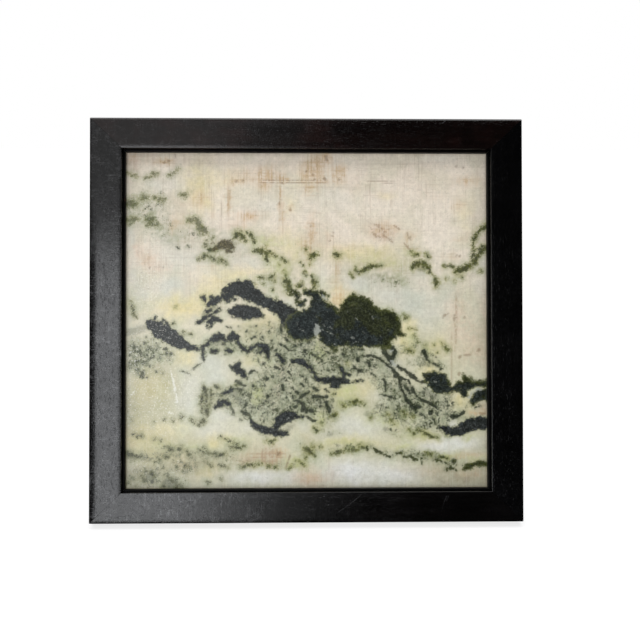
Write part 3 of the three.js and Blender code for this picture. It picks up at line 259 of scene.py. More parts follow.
# soft green-grey touches, with no hard edge
SOFT = [
    (143, 199, 5, 3.4, 0.4), (158, 199.5, 7, 3, 0.45), (131, 204, 6, 5, 0.55), (129, 220, 4, 5, 0.45), (136, 218, 4, 3, 0.3), (150, 220, 6, 5, 0.5), (156, 224, 4, 2.5, 0.35), (162, 235, 6, 8, 0.2), (172, 240, 10, 7, 0.2),
    (134, 173, 6, 2.4, 0.3), (148, 177, 8, 2.2, 0.32), (156, 174, 4, 2.4, 0.35), (172, 174, 8, 1.8, 0.25), (180, 167, 3, 5, 0.2), (164, 184, 3, 4, 0.2), (183, 195, 5, 3, 0.3), (198, 226, 10, 7, 0.3), (214, 234, 8, 6, 0.3),
    (224, 245, 11, 7, 0.45), (241, 236, 9, 6, 0.4), (252, 237, 5, 5, 0.25), (265, 253, 10, 6, 0.4), (276, 258, 6, 4, 0.2), (286, 263, 4, 4, 0.25), (204, 258, 7, 4, 0.4), (220, 261, 8, 4, 0.4), (208, 249, 6, 4, 0.25), (179, 247.6, 6, 2.4, 0.25),
    (190, 247, 5, 2, 0.25), (270, 279, 9, 3, 0.3), (285, 273, 4, 4, 0.3), (288, 285, 6, 8, 0.45), (299, 286, 5, 5, 0.4), (305, 272, 4, 3, 0.35), (313, 257, 6, 4, 0.4), (338, 255, 5, 4, 0.35), (314, 282, 4, 7, 0.4), (336, 268, 3, 9, 0.12),
    (353, 275, 4, 4, 0.4), (362, 271, 7, 4, 0.4), (375, 266, 8, 3, 0.4), (384, 277, 12, 5, 0.36), (396, 281, 10, 5, 0.34), (405, 286, 8, 3, 0.2), (400, 270, 5, 6, 0.25), (414, 252, 6, 5, 0.5), (427, 256, 5, 3.4, 0.5),
    (422, 266, 12, 6, 0.4), (420, 272, 8, 3, 0.3), (437, 283, 5, 6, 0.45), (446, 268, 5, 3, 0.25), (458, 271, 5, 4, 0.35), (470, 267, 9, 6, 0.45), (482, 252, 8, 8, 0.4), (477, 236, 4, 10, 0.35), (470, 276, 8, 3, 0.15), (461, 276, 5, 3, 0.3),
    (455, 279, 5, 2.5, 0.25), (484, 271, 4, 3, 0.3), (407, 318, 4, 3, 0.4), (411, 351, 5, 3.4, 0.4), (425, 355, 4, 6, 0.4), (416, 336, 5, 3, 0.25), (446, 347, 4, 6, 0.3), (433, 364, 7, 5, 0.3), (128, 298, 2, 8, 0.25), (134, 312, 3, 6, 0.35),
    (186, 333, 5, 3, 0.35), (176, 308, 3, 3, 0.2), (203, 354, 2.4, 8, 0.4), (146, 342, 10, 6, 0.3), (154, 350, 8, 5, 0.35), (168, 352, 6, 4, 0.35), (138, 364, 9, 7, 0.5), (142, 374, 5, 4, 0.4), (160, 372, 6, 3, 0.3), (140, 352, 8, 6, 0.25),
    (130, 346, 5, 7, 0.25), (163, 358, 6, 4, 0.25), (168, 377, 3, 3, 0.3), (195, 366, 6, 3, 0.3), (184, 371.6, 6, 2, 0.25), (206, 399, 6, 12, 0.5), (217, 387.6, 4, 3, 0.4), (207, 409, 4, 4, 0.35), (201, 422, 6, 4, 0.4), (192, 421, 4, 3, 0.35),
    (182, 416.6, 3, 2, 0.3), (138, 434, 7, 3, 0.2), (157, 439, 8, 3, 0.3), (130, 454, 9, 5, 0.45), (146, 458, 8, 3, 0.25), (170, 447, 6, 5, 0.45), (181, 449, 7, 5, 0.45), (188, 454, 5, 5, 0.35), (170, 456, 7, 4, 0.35), (160, 460, 7, 4, 0.3),
    (143, 477, 5, 6, 0.5), (153, 474, 4, 6, 0.5), (130, 482, 6, 6, 0.4), (168, 480, 7, 6, 0.5), (177, 485, 8, 4, 0.5), (160, 484, 6, 4, 0.3), (186, 466, 8, 5, 0.3), (165, 467, 5, 4, 0.3), (210, 453, 14, 3, 0.3), (236, 447, 12, 4, 0.45),
    (223, 439, 8, 2.6, 0.25), (246, 466, 10, 3, 0.35), (210, 464, 5, 4, 0.3), (224, 466, 6, 4, 0.3), (219, 476, 4, 3, 0.25), (270, 440, 6, 2.6, 0.35), (274, 465, 12, 4, 0.25), (308, 451, 7, 7, 0.45), (302, 463, 5, 5, 0.4), (292, 466, 5, 3, 0.3),
    (338, 452.6, 9, 3, 0.4), (353, 448, 6, 5, 0.35), (366, 446, 6, 4, 0.35), (382, 453, 12, 5, 0.35), (401, 453, 6, 5, 0.4), (414, 457, 9, 5, 0.4), (430, 456, 10, 5, 0.4), (447, 463, 10, 6, 0.4), (477, 465, 12, 4, 0.4), (452, 469.6, 7, 2.4, 0.3),
    (431, 436, 11, 3, 0.45), (413, 433, 5, 2, 0.3), (468, 438, 6, 2, 0.2), (352, 403, 8, 4, 0.4), (341, 407, 5, 4, 0.35), (334, 416, 5, 4, 0.35), (316, 430, 5, 3, 0.25), (388, 419, 6, 5, 0.35), (371, 417, 3, 6, 0.25), (403, 414, 5, 4, 0.35),
    (268, 380, 6, 4, 0.35), (252, 388, 8, 5, 0.3), (333, 432, 10, 4, 0.15), (300, 404, 9, 8, 0.4), (304, 393, 9, 6, 0.4), (325, 405, 6, 6, 0.35), (321, 420, 8, 4, 0.25), (346, 424, 8, 4, 0.12), (457, 416, 10, 5, 0.35), (480, 408, 6, 4, 0.25),
    (433, 413, 6, 5, 0.4), (415, 407, 9, 7, 0.45), (436, 423, 5, 4, 0.35), (262, 424, 8, 4, 0.25), (274, 424, 6, 5, 0.25), (222, 400, 9, 6, 0.25), (226, 390, 7, 4, 0.35), (240, 388, 6, 4, 0.3), (394, 392, 8, 8, 0.25), (300, 478, 5, 3, 0.1),
    (228, 291, 6, 6, 0.3), (212, 303, 9, 7, 0.35), (212, 317, 10, 5, 0.3), (256, 300, 8, 5, 0.2), (250, 333, 8, 5, 0.3), (228, 330, 7, 4, 0.2), (270, 328, 10, 5, 0.25), (284, 330, 7, 6, 0.25), (216, 347, 8, 5, 0.25), (230, 348, 8, 5, 0.35),
    (248, 356, 6, 4, 0.15), (262, 360, 8, 5, 0.25), (330, 303, 4, 5, 0.25), (400, 318, 4, 5, 0.3), (356, 294, 6, 4, 0.25), (376, 304, 4, 6, 0.25),
]
# a thin grey veil over the ground, with no hard edge
VEIL = [
    [(126, 333.6, 2.4), (133, 331, 2.8), (140, 329, 3), (147, 327, 2.8)], [(206, 314, 3.4), (212, 309, 2.6), (217, 305, 1.8)], [(213, 342, 2.6), (220, 342, 2.2)], [(126, 453.6, 2.6), (134, 455.4, 2.4), (142, 457.6, 1.8), (149, 459, 1)],
    [(166, 481, 3.4), (172, 485, 4.6), (180, 489, 4)], [(366, 414, 2), (371, 419, 2.4)], [(286, 430, 2.2), (292, 425, 1.8)], [(321, 297.6, 1.6), (325, 299.6, 1.4)], [(224, 298, 4)], [(386, 351, 5), (391, 354, 4.6)], [(433, 396, 3), (424, 392, 3)],
    [(233, 394, 3), (240, 402, 2.6)], [(404, 384, 2.4), (408, 392, 2.4)], [(300, 392, 3)], [(417, 268, 2.4), (423, 269.6, 2.4)], [(330, 434, 1.4)], [(384, 430, 1.4)], [(143, 477, 2.6)], [(150, 476, 2)], [(156, 453, 1)],
]
# brown specks
BROWN = [
    [(174.8, 153.4, 0.7), (174.8, 158, 0.5)], [(325.6, 157, 1.3), (326, 160, 1)], [(324.4, 179, 1.5)], [(312.5, 174.5, 0.8)], [(314, 179.5, 0.9)], [(305.5, 171, 0.9)], [(281.8, 183, 0.9)], [(279.7, 200, 0.9)], [(278.6, 203, 0.7)],
    [(338.6, 180, 1.1)], [(289.5, 210, 1)], [(236, 181.5, 0.8)], [(242, 181, 0.6)], [(149.7, 268.2, 0.9)], [(162.8, 267.8, 0.8)], [(142, 273, 0.6)], [(141, 354.2, 0.9)], [(158.5, 365.5, 0.7)], 
    [(305, 246.6, 1.1), (305, 251, 1.1)], [(311, 248, 1)], [(309, 255, 1), (308.8, 259, 0.9)], [(310, 226, 1.4)], [(277.6, 453.6, 2)],
    [(373.6, 223.6, 0.3), (378.6, 228, 0.4)], [(376, 224, 0.3), (383, 231.6, 0.5)], [(378.6, 224, 0.2), (381, 229.6, 0.3)], [(380, 231, 0.3), (386, 232.6, 0.4)], [(385.6, 225.6, 0.3), (391.6, 231.6, 0.5)], [(388, 229, 0.2), (393, 232.6, 0.4)],
    [(372, 233, 0.4), (377.6, 237.6, 0.5)], [(374, 236, 0.3), (380, 240.6, 0.5)], [(377, 235, 0.2), (382, 240, 0.4)], [(383, 235, 0.3), (392, 242, 0.5)], [(386, 237, 0.2), (391, 239, 0.2)], [(366, 221, 0.1), (371, 224, 0.3)], [(368, 226, 0), (371, 229, 0.2)],
    [(394, 226, 0.1), (399, 229, 0.3)], [(407, 233, 0.2), (410, 240, 0.4)], [(404, 243, 0.3), (409, 249, 0.6)],
    [(410, 237.6, 1.1)], [(409, 240, 0.7)], [(406, 245, 0.8), (409, 248.6, 0.7)], [(445, 315, 1), (443, 318, 0.8)], [(448, 314, 0.7)], [(454.4, 315.6, 1), (454.6, 320, 1)], [(456.4, 317.6, 0.9)], [(464, 318, 0.8)],
    [(456.5, 166, 0.6)], [(463.6, 167, 0.9)], [(184.6, 464.6, 0.8), (188.4, 465.6, 0.8)], [(479, 350.6, 1.7)], [(459.6, 357.4, 1.4)], [(463, 355.6, 0.8), (470, 355.4, 0.7)],
    [(459, 374.6, 1.4)], [(456.6, 256, 0.9)], [(460, 256, 0.9)], [(331.6, 236, 0.7)], [(333, 233, 0.6)], [(329, 241, 0.6)], [(168, 161.4, 0.9)], [(164, 162.6, 0.7)], [(480, 415, 1), (485, 413.6, 1)], [(289.6, 455, 0.6), (287, 462, 0.6), (285, 468, 0.6)],
]
# pale islands inside the dark
ISLAND = [
    [(316.4, 325, 1.4), (316.8, 330.6, 3), (315.4, 334.6, 2.2)], [(322, 297.6, 1.4), (325.5, 299.4, 1.1)], [(321.6, 331, 0.5), (327, 332.6, 0.2)], [(327, 332.6, 0.1), (333, 334.6, 0.15), (340, 336.6, 0.1)], [(348, 338, 0.1), (352, 337.6, 0.35), (356, 339.4, 0.1)],
    [(320, 324.6, -0.2), (328, 327.4, 0), (336, 331, 0), (344, 335, -0.2)], [(306, 316.4, -0.3), (312, 315.6, -0.1), (319, 318, -0.1), (326, 322, -0.3)], [(343, 341.4, -0.3), (350, 343.4, -0.1), (358, 342.6, -0.1), (366, 343.6, -0.3)],
    [(322, 309, -0.3), (328, 313, -0.2), (333, 319, -0.3)], [(347, 311, -0.3), (353, 315, -0.2), (357, 321, -0.3)], [(366, 310, -0.3), (371, 316, -0.2), (374, 323, -0.3)], [(384, 322, -0.3), (387, 328, -0.2), (388, 334, -0.3)], [(296, 322, -0.3), (299, 329, -0.2), (305, 334, -0.3)],
    [(369, 330, -0.3), (376, 333, -0.1), (382, 338, -0.3)], [(352, 328, -0.3), (358, 331, -0.1), (365, 334, -0.3)], [(355, 306, -0.3), (360, 310, -0.2)], [(328, 341, -0.3), (334, 344, -0.2)], [(232, 289, -0.3), (240, 292, -0.2), (248, 297, -0.3)],
    [(262, 302, -0.3), (270, 306, -0.2), (278, 311, -0.3)], [(236, 311, -0.3), (246, 313, -0.2)], [(450, 431, -0.3), (460, 429, -0.2), (472, 426, -0.3)], [(279, 424, -0.3), (286, 420, -0.2), (292, 417, -0.3)], [(432, 380, -0.3), (438, 384, -0.2), (444, 386, -0.3)], [(474, 391.8, 1.5), (479, 389.4, 1.6), (482.6, 390, 1)],
    [(468, 398.6, 1.2), (471.6, 394.6, 1.4)], [(389, 353, 1), (391.4, 350.6, 0.9)], [(395, 365.6, 1.4), (391, 362, 1)], [(386, 360, 0.8)],
]
# painted highlights: white glints and sparkle of the window's light on the polished face
GLINT = [
    [(170.6, 371, 0.5), (172.6, 379, 0.9), (174.4, 387, 1), (176, 395, 0.9), (177, 402.6, 0.6)], [(161.6, 403, 0.7)], [(169, 412, 1), (172.6, 413.6, 0.8)], [(166, 408, 0.7)], [(131.6, 394.6, 0.8), (134, 391.6, 0.7)], [(178, 461, 0.7)], [(173, 355, 0.6)],
    [(131, 404, 0.6)], [(160, 400, 0.6)], [(136, 465, 0.6)], [(134.6, 361, 0.7)], [(131, 352, 0.7)],
]
SPARKLE = [
    (148, 286, 18, 24, 0.9), (160, 331, 13, 8, 0.25), (150, 200, 24, 16, 0.4), (165, 396, 26, 26, 0.7), (134, 360, 10, 26, 0.7), (160, 352, 18, 10, 0.4), (131, 400, 6, 24, 0.6), (160, 425, 20, 16, 0.35), (140, 466, 14, 10, 0.4), (176, 470, 14, 8, 0.3), (160, 334, 16, 8, 0.35), (150, 240, 14, 20, 0.3), (190, 380, 16, 20, 0.35),
]

# Washes over the ground: (x, y, rx, ry, strength)
YELLOW = [
    (180, 308, 22, 9, 1.0), (203, 297, 14, 9, 0.6), (215, 281, 12, 12, 0.55), (196, 186, 12, 18, 0.6), (214, 178, 12, 10, 0.35), (232, 178, 14, 8, 0.3), (206, 204, 10, 8, 0.4), (290, 205, 8, 8, 0.35), (272, 250, 10, 16, 0.3), (290, 246, 9, 16, 0.5),
    (246, 272, 30, 5, 0.45), (338, 297, 9, 13, 0.6), (345, 300, 8, 8, 0.3), (352, 253, 22, 8, 0.6), (378, 254, 16, 8, 0.4), (386, 196, 8, 4, 0.4), (404, 342, 7, 10, 0.9), (409, 326, 7, 7, 0.8), (438, 345, 12, 12, 0.5), (430, 372, 9, 7, 0.7),
    (366, 388, 12, 9, 0.4), (343, 392, 9, 5, 0.35), (346, 442, 20, 5, 0.6), (322, 446, 12, 6, 0.3), (460, 401, 9, 9, 0.85), (150, 390, 14, 14, 0.55), (187, 358, 10, 7, 0.7), (142, 441, 18, 12, 0.7), (152, 454, 14, 5, 0.5), (172, 430, 18, 10, 0.35),
    (214, 441, 10, 6, 0.6), (222, 436, 8, 5, 0.35), (208, 470, 11, 7, 0.7), (180, 460, 8, 6, 0.4), (268, 317, 9, 9, 0.45), (252, 359, 7, 7, 0.4), (270, 337, 18, 8, 0.3), (306, 436, 10, 6, 0.3), (240, 336, 10, 6, 0.2), (232, 278, 12, 5, 0.25),
    (320, 392, 12, 5, 0.35), (377, 444, 12, 3, 0.2), (402, 446, 10, 3, 0.25), (424, 440, 18, 3, 0.12), (128, 300, 6, 12, 0.2), (330, 352, 10, 6, 0.2), (300, 182, 8, 12, 0.2), (466, 216, 8, 16, 0.3), (406, 430, 18, 4, 0.15), (250, 322, 20, 4, 0.35),
]
PINK = [
    (133, 161, 6, 10, 0.7), (150, 160, 16, 6, 0.35), (139, 250, 5, 9, 0.8), (150, 262, 9, 8, 0.7), (162, 268, 6, 5, 0.5), (355, 184, 9, 10, 0.35), (382, 232, 14, 9, 0.7), (472, 338, 16, 22, 0.6), (457, 313, 10, 20, 0.6), (478, 358, 12, 12, 0.5),
    (245, 171, 14, 8, 0.35), (280, 166, 12, 7, 0.35), (246, 218, 12, 5, 0.45), (232, 226, 10, 4, 0.35), (310, 478, 14, 7, 1.0), (312, 234, 6, 20, 0.5), (326, 240, 8, 18, 0.3), (182, 218, 8, 8, 0.35), (176, 202, 8, 6, 0.35), (170, 226, 4, 10, 0.3),
    (262, 452, 16, 10, 0.3), (410, 176, 40, 24, 0.16), (478, 474, 12, 8, 0.4), (200, 160, 20, 6, 0.3), (280, 372, 5, 14, 0.45), (276, 392, 4, 9, 0.5), (160, 371, 6, 6, 0.3), (482, 412, 6, 4, 0.8), (479, 406, 8, 5, 0.5), (186, 280, 5, 12, 0.25),
    (187, 238, 8, 6, 0.3), (195, 281, 5, 7, 0.2), (352, 240, 12, 10, 0.15), (446, 186, 36, 14, 0.08), (486, 300, 6, 24, 0.3), (468, 238, 8, 4, 0.35), (470, 180, 14, 6, 0.35), (178, 462, 9, 6, 0.35), (148, 300, 6, 5, 0.25), (318, 160, 14, 6, 0.3),
    (430, 470, 20, 8, 0.2), (470, 456, 14, 3, 0.5), (400, 470, 10, 4, 0.12), (236, 457, 8, 4, 0.35), (182, 205, 6, 5, 0.3), (338, 270, 5, 20, 0.3), (288, 226, 7, 10, 0.2), (352, 222, 10, 8, 0.15),
]
WHITE = [
    (153, 184, 8, 6, 0.5), (172, 183, 7, 8, 0.4), (168, 240, 12, 8, 0.5), (180, 258, 20, 11, 0.6), (172, 286, 14, 9, 0.9), (131, 232, 4, 14, 0.6), (140, 290, 10, 10, 0.5), (133, 275, 6, 10, 0.4), (252, 262, 26, 6, 0.45), (214, 270, 14, 5, 0.35),
    (240, 247, 8, 4, 0.5), (258, 242, 7, 4, 0.4), (360, 284, 16, 9, 0.8), (390, 296, 18, 10, 0.7), (412, 304, 20, 16, 0.8), (430, 320, 14, 12, 0.5), (420, 276, 10, 5, 0.45), (448, 294, 12, 12, 0.5), (484, 264, 7, 9, 0.6), (480, 288, 8, 10, 0.35),
    (210, 362, 14, 10, 0.7), (216, 376, 12, 8, 0.6), (190, 384, 12, 14, 0.5), (186, 402, 10, 12, 0.5), (222, 415, 14, 8, 0.5), (210, 430, 20, 6, 0.4), (248, 427, 8, 7, 0.35), (256, 476, 30, 7, 0.8), (290, 478, 8, 6, 0.5), (352, 472, 26, 12, 1.0),
    (398, 476, 24, 9, 0.8), (430, 448, 26, 5, 0.6), (456, 444, 20, 5, 0.6), (348, 424, 16, 9, 0.5), (368, 428, 18, 7, 0.45), (320, 436, 16, 5, 0.3), (392, 366, 6, 6, 0.7), (378, 396, 8, 5, 0.35), (286, 306, 9, 6, 0.5), (270, 282, 8, 4, 0.3),
    (264, 207, 14, 8, 0.35), (330, 196, 20, 12, 0.3), (300, 200, 10, 12, 0.2), (444, 158, 26, 4, 0.35), (340, 160, 10, 5, 0.2), (226, 236, 6, 4, 0.3), (303, 426, 6, 5, 0.3), (250, 374, 5, 4, 0.3), (250, 401, 8, 6, 0.25), (470, 440, 10, 3, 0.35),
    (436, 392, 6, 3, 0.3), (128, 320, 3, 8, 0.3), (148, 400, 8, 14, 0.25), (454, 425, 5, 3, 0.6), (135, 470, 7, 6, 0.25), (372, 258, 6, 3, 0.15), (324, 275, 5, 10, 0.3), (343, 276, 6, 8, 0.3),
]
# grey-green of the mossy ground, under the crumbs
MOSS = [
    (150, 206, 26, 18, 0.4), (136, 212, 14, 14, 0.35), (190, 236, 18, 10, 0.4), (214, 254, 16, 8, 0.35), (160, 230, 20, 12, 0.35), (236, 252, 20, 8, 0.25), (280, 276, 14, 10, 0.35), (388, 280, 20, 7, 0.45), (350, 268, 10, 5, 0.25),
    (140, 346, 14, 8, 0.55), (150, 354, 16, 9, 0.55), (138, 366, 12, 9, 0.6), (160, 362, 12, 8, 0.35), (218, 348, 16, 6, 0.45), (236, 348, 14, 7, 0.5), (262, 334, 24, 10, 0.4), (268, 352, 16, 10, 0.55), (290, 346, 22, 12, 0.75),
    (312, 352, 20, 12, 0.85), (338, 356, 18, 10, 0.85), (360, 358, 16, 10, 0.85), (380, 366, 12, 8, 0.75), (300, 374, 18, 12, 0.85), (326, 370, 18, 8, 0.7), (352, 370, 18, 7, 0.6), (276, 380, 18, 12, 0.7), (252, 384, 14, 10, 0.55),
    (262, 400, 18, 10, 0.7), (290, 398, 16, 12, 0.85), (306, 406, 14, 12, 0.85), (240, 404, 14, 10, 0.55), (226, 394, 10, 8, 0.45), (272, 416, 16, 8, 0.6), (324, 404, 14, 8, 0.5), (330, 416, 10, 7, 0.4), (352, 404, 12, 5, 0.4),
    (380, 380, 12, 10, 0.5), (394, 392, 12, 10, 0.65), (408, 402, 14, 10, 0.75), (424, 396, 14, 8, 0.65), (424, 412, 16, 9, 0.75), (440, 420, 12, 6, 0.6), (444, 402, 14, 8, 0.6), (400, 416, 16, 8, 0.6), (384, 410, 12, 8, 0.45),
    (424, 428, 18, 5, 0.5), (456, 418, 12, 4, 0.5), (426, 358, 12, 10, 0.45), (414, 346, 12, 8, 0.35), (412, 364, 10, 6, 0.35), (205, 400, 6, 12, 0.5), (166, 450, 20, 8, 0.4), (136, 456, 14, 5, 0.4), (146, 476, 20, 9, 0.6), (174, 482, 12, 6, 0.6),
    (186, 466, 14, 6, 0.4), (216, 456, 20, 6, 0.35), (244, 462, 16, 5, 0.3), (276, 464, 16, 4, 0.3), (308, 452, 9, 9, 0.45), (348, 447, 26, 4, 0.4), (410, 455, 24, 5, 0.45), (446, 462, 18, 6, 0.4), (478, 466, 12, 4, 0.4), (130, 410, 8, 16, 0.3),
    (160, 408, 20, 8, 0.2), (330, 432, 20, 5, 0.2), (392, 352, 8, 8, 0.6), (250, 412, 12, 6, 0.5), (470, 404, 8, 5, 0.3), (214, 310, 10, 8, 0.35), (230, 298, 6, 5, 0.35), (440, 366, 8, 5, 0.35), (396, 432, 14, 4, 0.35),
]
# painted shade: duller, browner ground towards some edges and corners, where the frame shades the stone and the light
# falls off
SHADE = [
    (470, 478, 26, 9, 0.7), (436, 474, 20, 8, 0.4), (130, 170, 7, 16, 0.35), (140, 157, 16, 4, 0.3), (134, 478, 12, 10, 0.35), (150, 470, 20, 12, 0.25), (188, 470, 16, 8, 0.25), (480, 215, 8, 24, 0.2),
    (440, 200, 30, 20, 0.02), (484, 180, 5, 30, 0.15), (484, 330, 5, 40, 0.3), (480, 450, 12, 6, 0.3), (300, 440, 16, 8, 0.15), (330, 345, 14, 6, 0.25), (130, 430, 5, 30, 0.25), (200, 160, 30, 6, 0.1), (204, 462, 20, 8, 0.25),
]
# yellow-green lichen, and the red-brown patch near the foot
LIME = [
    (257, 393, 6, 9, 0.7), (345, 392, 10, 7, 0.55), (318, 352, 6, 8, 0.5), (345, 443, 18, 4, 0.38), (404, 446, 12, 4, 0.42), (300, 462, 7, 5, 0.45), (318, 420, 5, 8, 0.45), (268, 243, 20, 5, 0.4), (365, 258, 20, 5, 0.28), (392, 263, 12, 4, 0.25),
    (412, 252, 8, 4, 0.4), (270, 262, 8, 6, 0.35), (282, 270, 8, 5, 0.35), (386, 420, 24, 8, 0.3), (343, 404, 10, 4, 0.4), (262, 362, 8, 5, 0.2), (236, 440, 14, 4, 0.3), (200, 446, 14, 4, 0.3), (160, 444, 12, 4, 0.25), (466, 437, 10, 2, 0.5),
    (478, 460, 10, 2, 0.4), (340, 330, 6, 4, 0.0), (310, 262, 5, 10, 0.3), (300, 250, 8, 6, 0.25), (238, 232, 8, 3, 0.3), (192, 216, 8, 4, 0.3), (130, 196, 8, 3, 0.3), (428, 352, 5, 6, 0.3), (409, 340, 6, 8, 0.3), (246, 280, 14, 3, 0.3),
    (204, 300, 6, 6, 0.25), (176, 300, 14, 4, 0.2), (290, 462, 8, 6, 0.35), (420, 436, 14, 2.4, 0.4), (446, 456, 12, 2.4, 0.4),
]
ROSE = [(309, 480, 16, 7, 0.14), (330, 474, 9, 8, 0.10), (247, 461, 5, 4, 0.3), (268, 457, 10, 6, 0.2)]
# where the dark masses are blue-black rather than mossy
COOL = [
    (304, 325, 24, 17, 1.0), (290, 318, 16, 14, 1.0), (330, 338, 24, 8, 0.9), (362, 341, 24, 6, 1.0), (340, 332, 12, 6, 0.6), (437, 382, 18, 13, 1.0), (472, 395, 16, 13, 0.7), (318, 308, 10, 8, 0.6), (465, 430, 30, 14, 1.0), (296, 297, 6, 6, 0.4),
    (312, 296, 8, 5, 0.4), (388, 334, 8, 8, 0.4), (330, 316, 6, 8, 0.3),
]
# a dull ochre-green cast
OCHRE = [
    (150, 392, 22, 16, 0.5), (140, 420, 16, 20, 0.45), (150, 440, 26, 10, 0.35), (165, 380, 14, 12, 0.3), (190, 455, 26, 10, 0.35), (150, 470, 26, 12, 0.4), (240, 455, 26, 8, 0.3), (205, 470, 12, 7, 0.4), (330, 388, 20, 8, 0.25), (352, 396, 16, 7, 0.3),
    (406, 448, 16, 5, 0.35), (345, 444, 18, 5, 0.35), (365, 258, 26, 9, 0.35), (390, 262, 20, 8, 0.3), (270, 240, 24, 8, 0.25), (200, 180, 18, 14, 0.15), (290, 262, 16, 10, 0.2), (310, 446, 10, 8, 0.2), (256, 396, 12, 8, 0.2), (430, 350, 20, 8, 0.2),
    (268, 322, 14, 10, 0.25), (250, 328, 20, 6, 0.25), (420, 436, 22, 4, 0.35), (460, 458, 22, 5, 0.25), (388, 424, 16, 10, 0.2), (176, 306, 20, 8, 0.2), (200, 440, 18, 6, 0.2), (335, 404, 14, 8, 0.25), (322, 424, 8, 10, 0.25), (296, 464, 12, 6, 0.25),
]
TAN = [
    (264, 177, 6, 7, 0.7), (264, 186, 2.4, 5, 0.55), (282, 179, 5, 2.4, 0.6), (280, 197, 1.8, 8, 0.7), (309, 171, 7, 7, 0.6), (310, 190, 6, 7, 0.5), (337, 176, 4.4, 8, 0.55), (325, 155, 2.4, 6, 0.7), (290, 209, 2.4, 3, 0.7), (250, 216, 11, 3.4, 0.55),
    (245, 175, 3, 4, 0.4), (281, 215, 1.6, 16, 0.5), (311, 240, 2.6, 20, 0.6), (304, 247, 2.4, 5, 0.7), (310, 225, 2.6, 3, 0.6), (301, 243, 5, 6, 0.3), (236, 182, 10, 3, 0.4), (162, 162, 6, 2, 0.6), (228, 203, 2, 12, 0.5), (199, 199, 5, 8, 0.35),
    (382, 229, 10, 7, 0.35), (468, 181, 9, 3, 0.4), (458, 206, 5, 7, 0.35), (336, 268, 2.4, 12, 0.35), (339, 298, 4, 9, 0.4), (318, 158, 10, 5, 0.35), (240, 226, 7, 5, 0.3), (178, 222, 6, 5, 0.3), (452, 258, 8, 4, 0.25), (406, 243, 4, 7, 0.35),
    (165, 162, 6, 2.4, 0.9), (268, 176, 5, 6, 0.85), (262, 178, 9, 8, 0.4), (283, 178, 4, 3.5, 0.8), (252, 178, 4, 3, 0.3), (316, 168, 10, 8, 0.65), (308, 176, 7, 6, 0.6), (322, 180, 6, 5, 0.5), (308, 190, 5, 4, 0.4), (340, 173, 5.5, 8, 0.75),
    (326, 158, 4, 4, 0.5), (246, 217, 8, 3, 0.5), (228, 196, 2.2, 13, 0.5), (280, 194, 2.5, 5, 0.5), (262, 187, 4, 3, 0.35), (310, 226, 3, 3, 0.5), (278, 453, 7, 5, 0.85), (270, 460, 8, 5, 0.5), (256, 455, 9, 3, 0.45), (244, 461, 7, 4, 0.35),
    (478, 414, 9, 2.4, 0.9), (470, 180, 8, 2.4, 0.5), (336, 300, 4, 9, 0.5), (341, 296, 3, 8, 0.4), (380, 231, 9, 6, 0.45), (393, 229, 5, 4, 0.4), (312, 478, 10, 5, 0.3), (183, 465, 8, 3, 0.4), (200, 200, 8, 6, 0.4), (238, 181, 8, 3, 0.3),
    (172, 226, 2.5, 8, 0.35), (306, 258, 3, 8, 0.3), (283, 215, 1.5, 14, 0.3), (145, 260, 6, 7, 0.3), (232, 178, 6, 6, 0.25), (214, 216, 5, 4, 0.2), (130, 158, 5, 4, 0.35), (416, 250, 5, 5, 0.3), (460, 457, 8, 2, 0.45), (476, 456, 8, 2, 0.4),
    (470, 474, 10, 4, 0.3), (428, 472, 8, 3, 0.2), (410, 236, 6, 4, 0.4), (438, 198, 8, 3, 0.12), (462, 204, 6, 3, 0.35), (458, 240, 6, 2, 0.3), (316, 244, 5, 6, 0.25), (328, 238, 5, 4, 0.3), (346, 248, 10, 2, 0.2), (208, 268, 8, 3, 0.25),
]
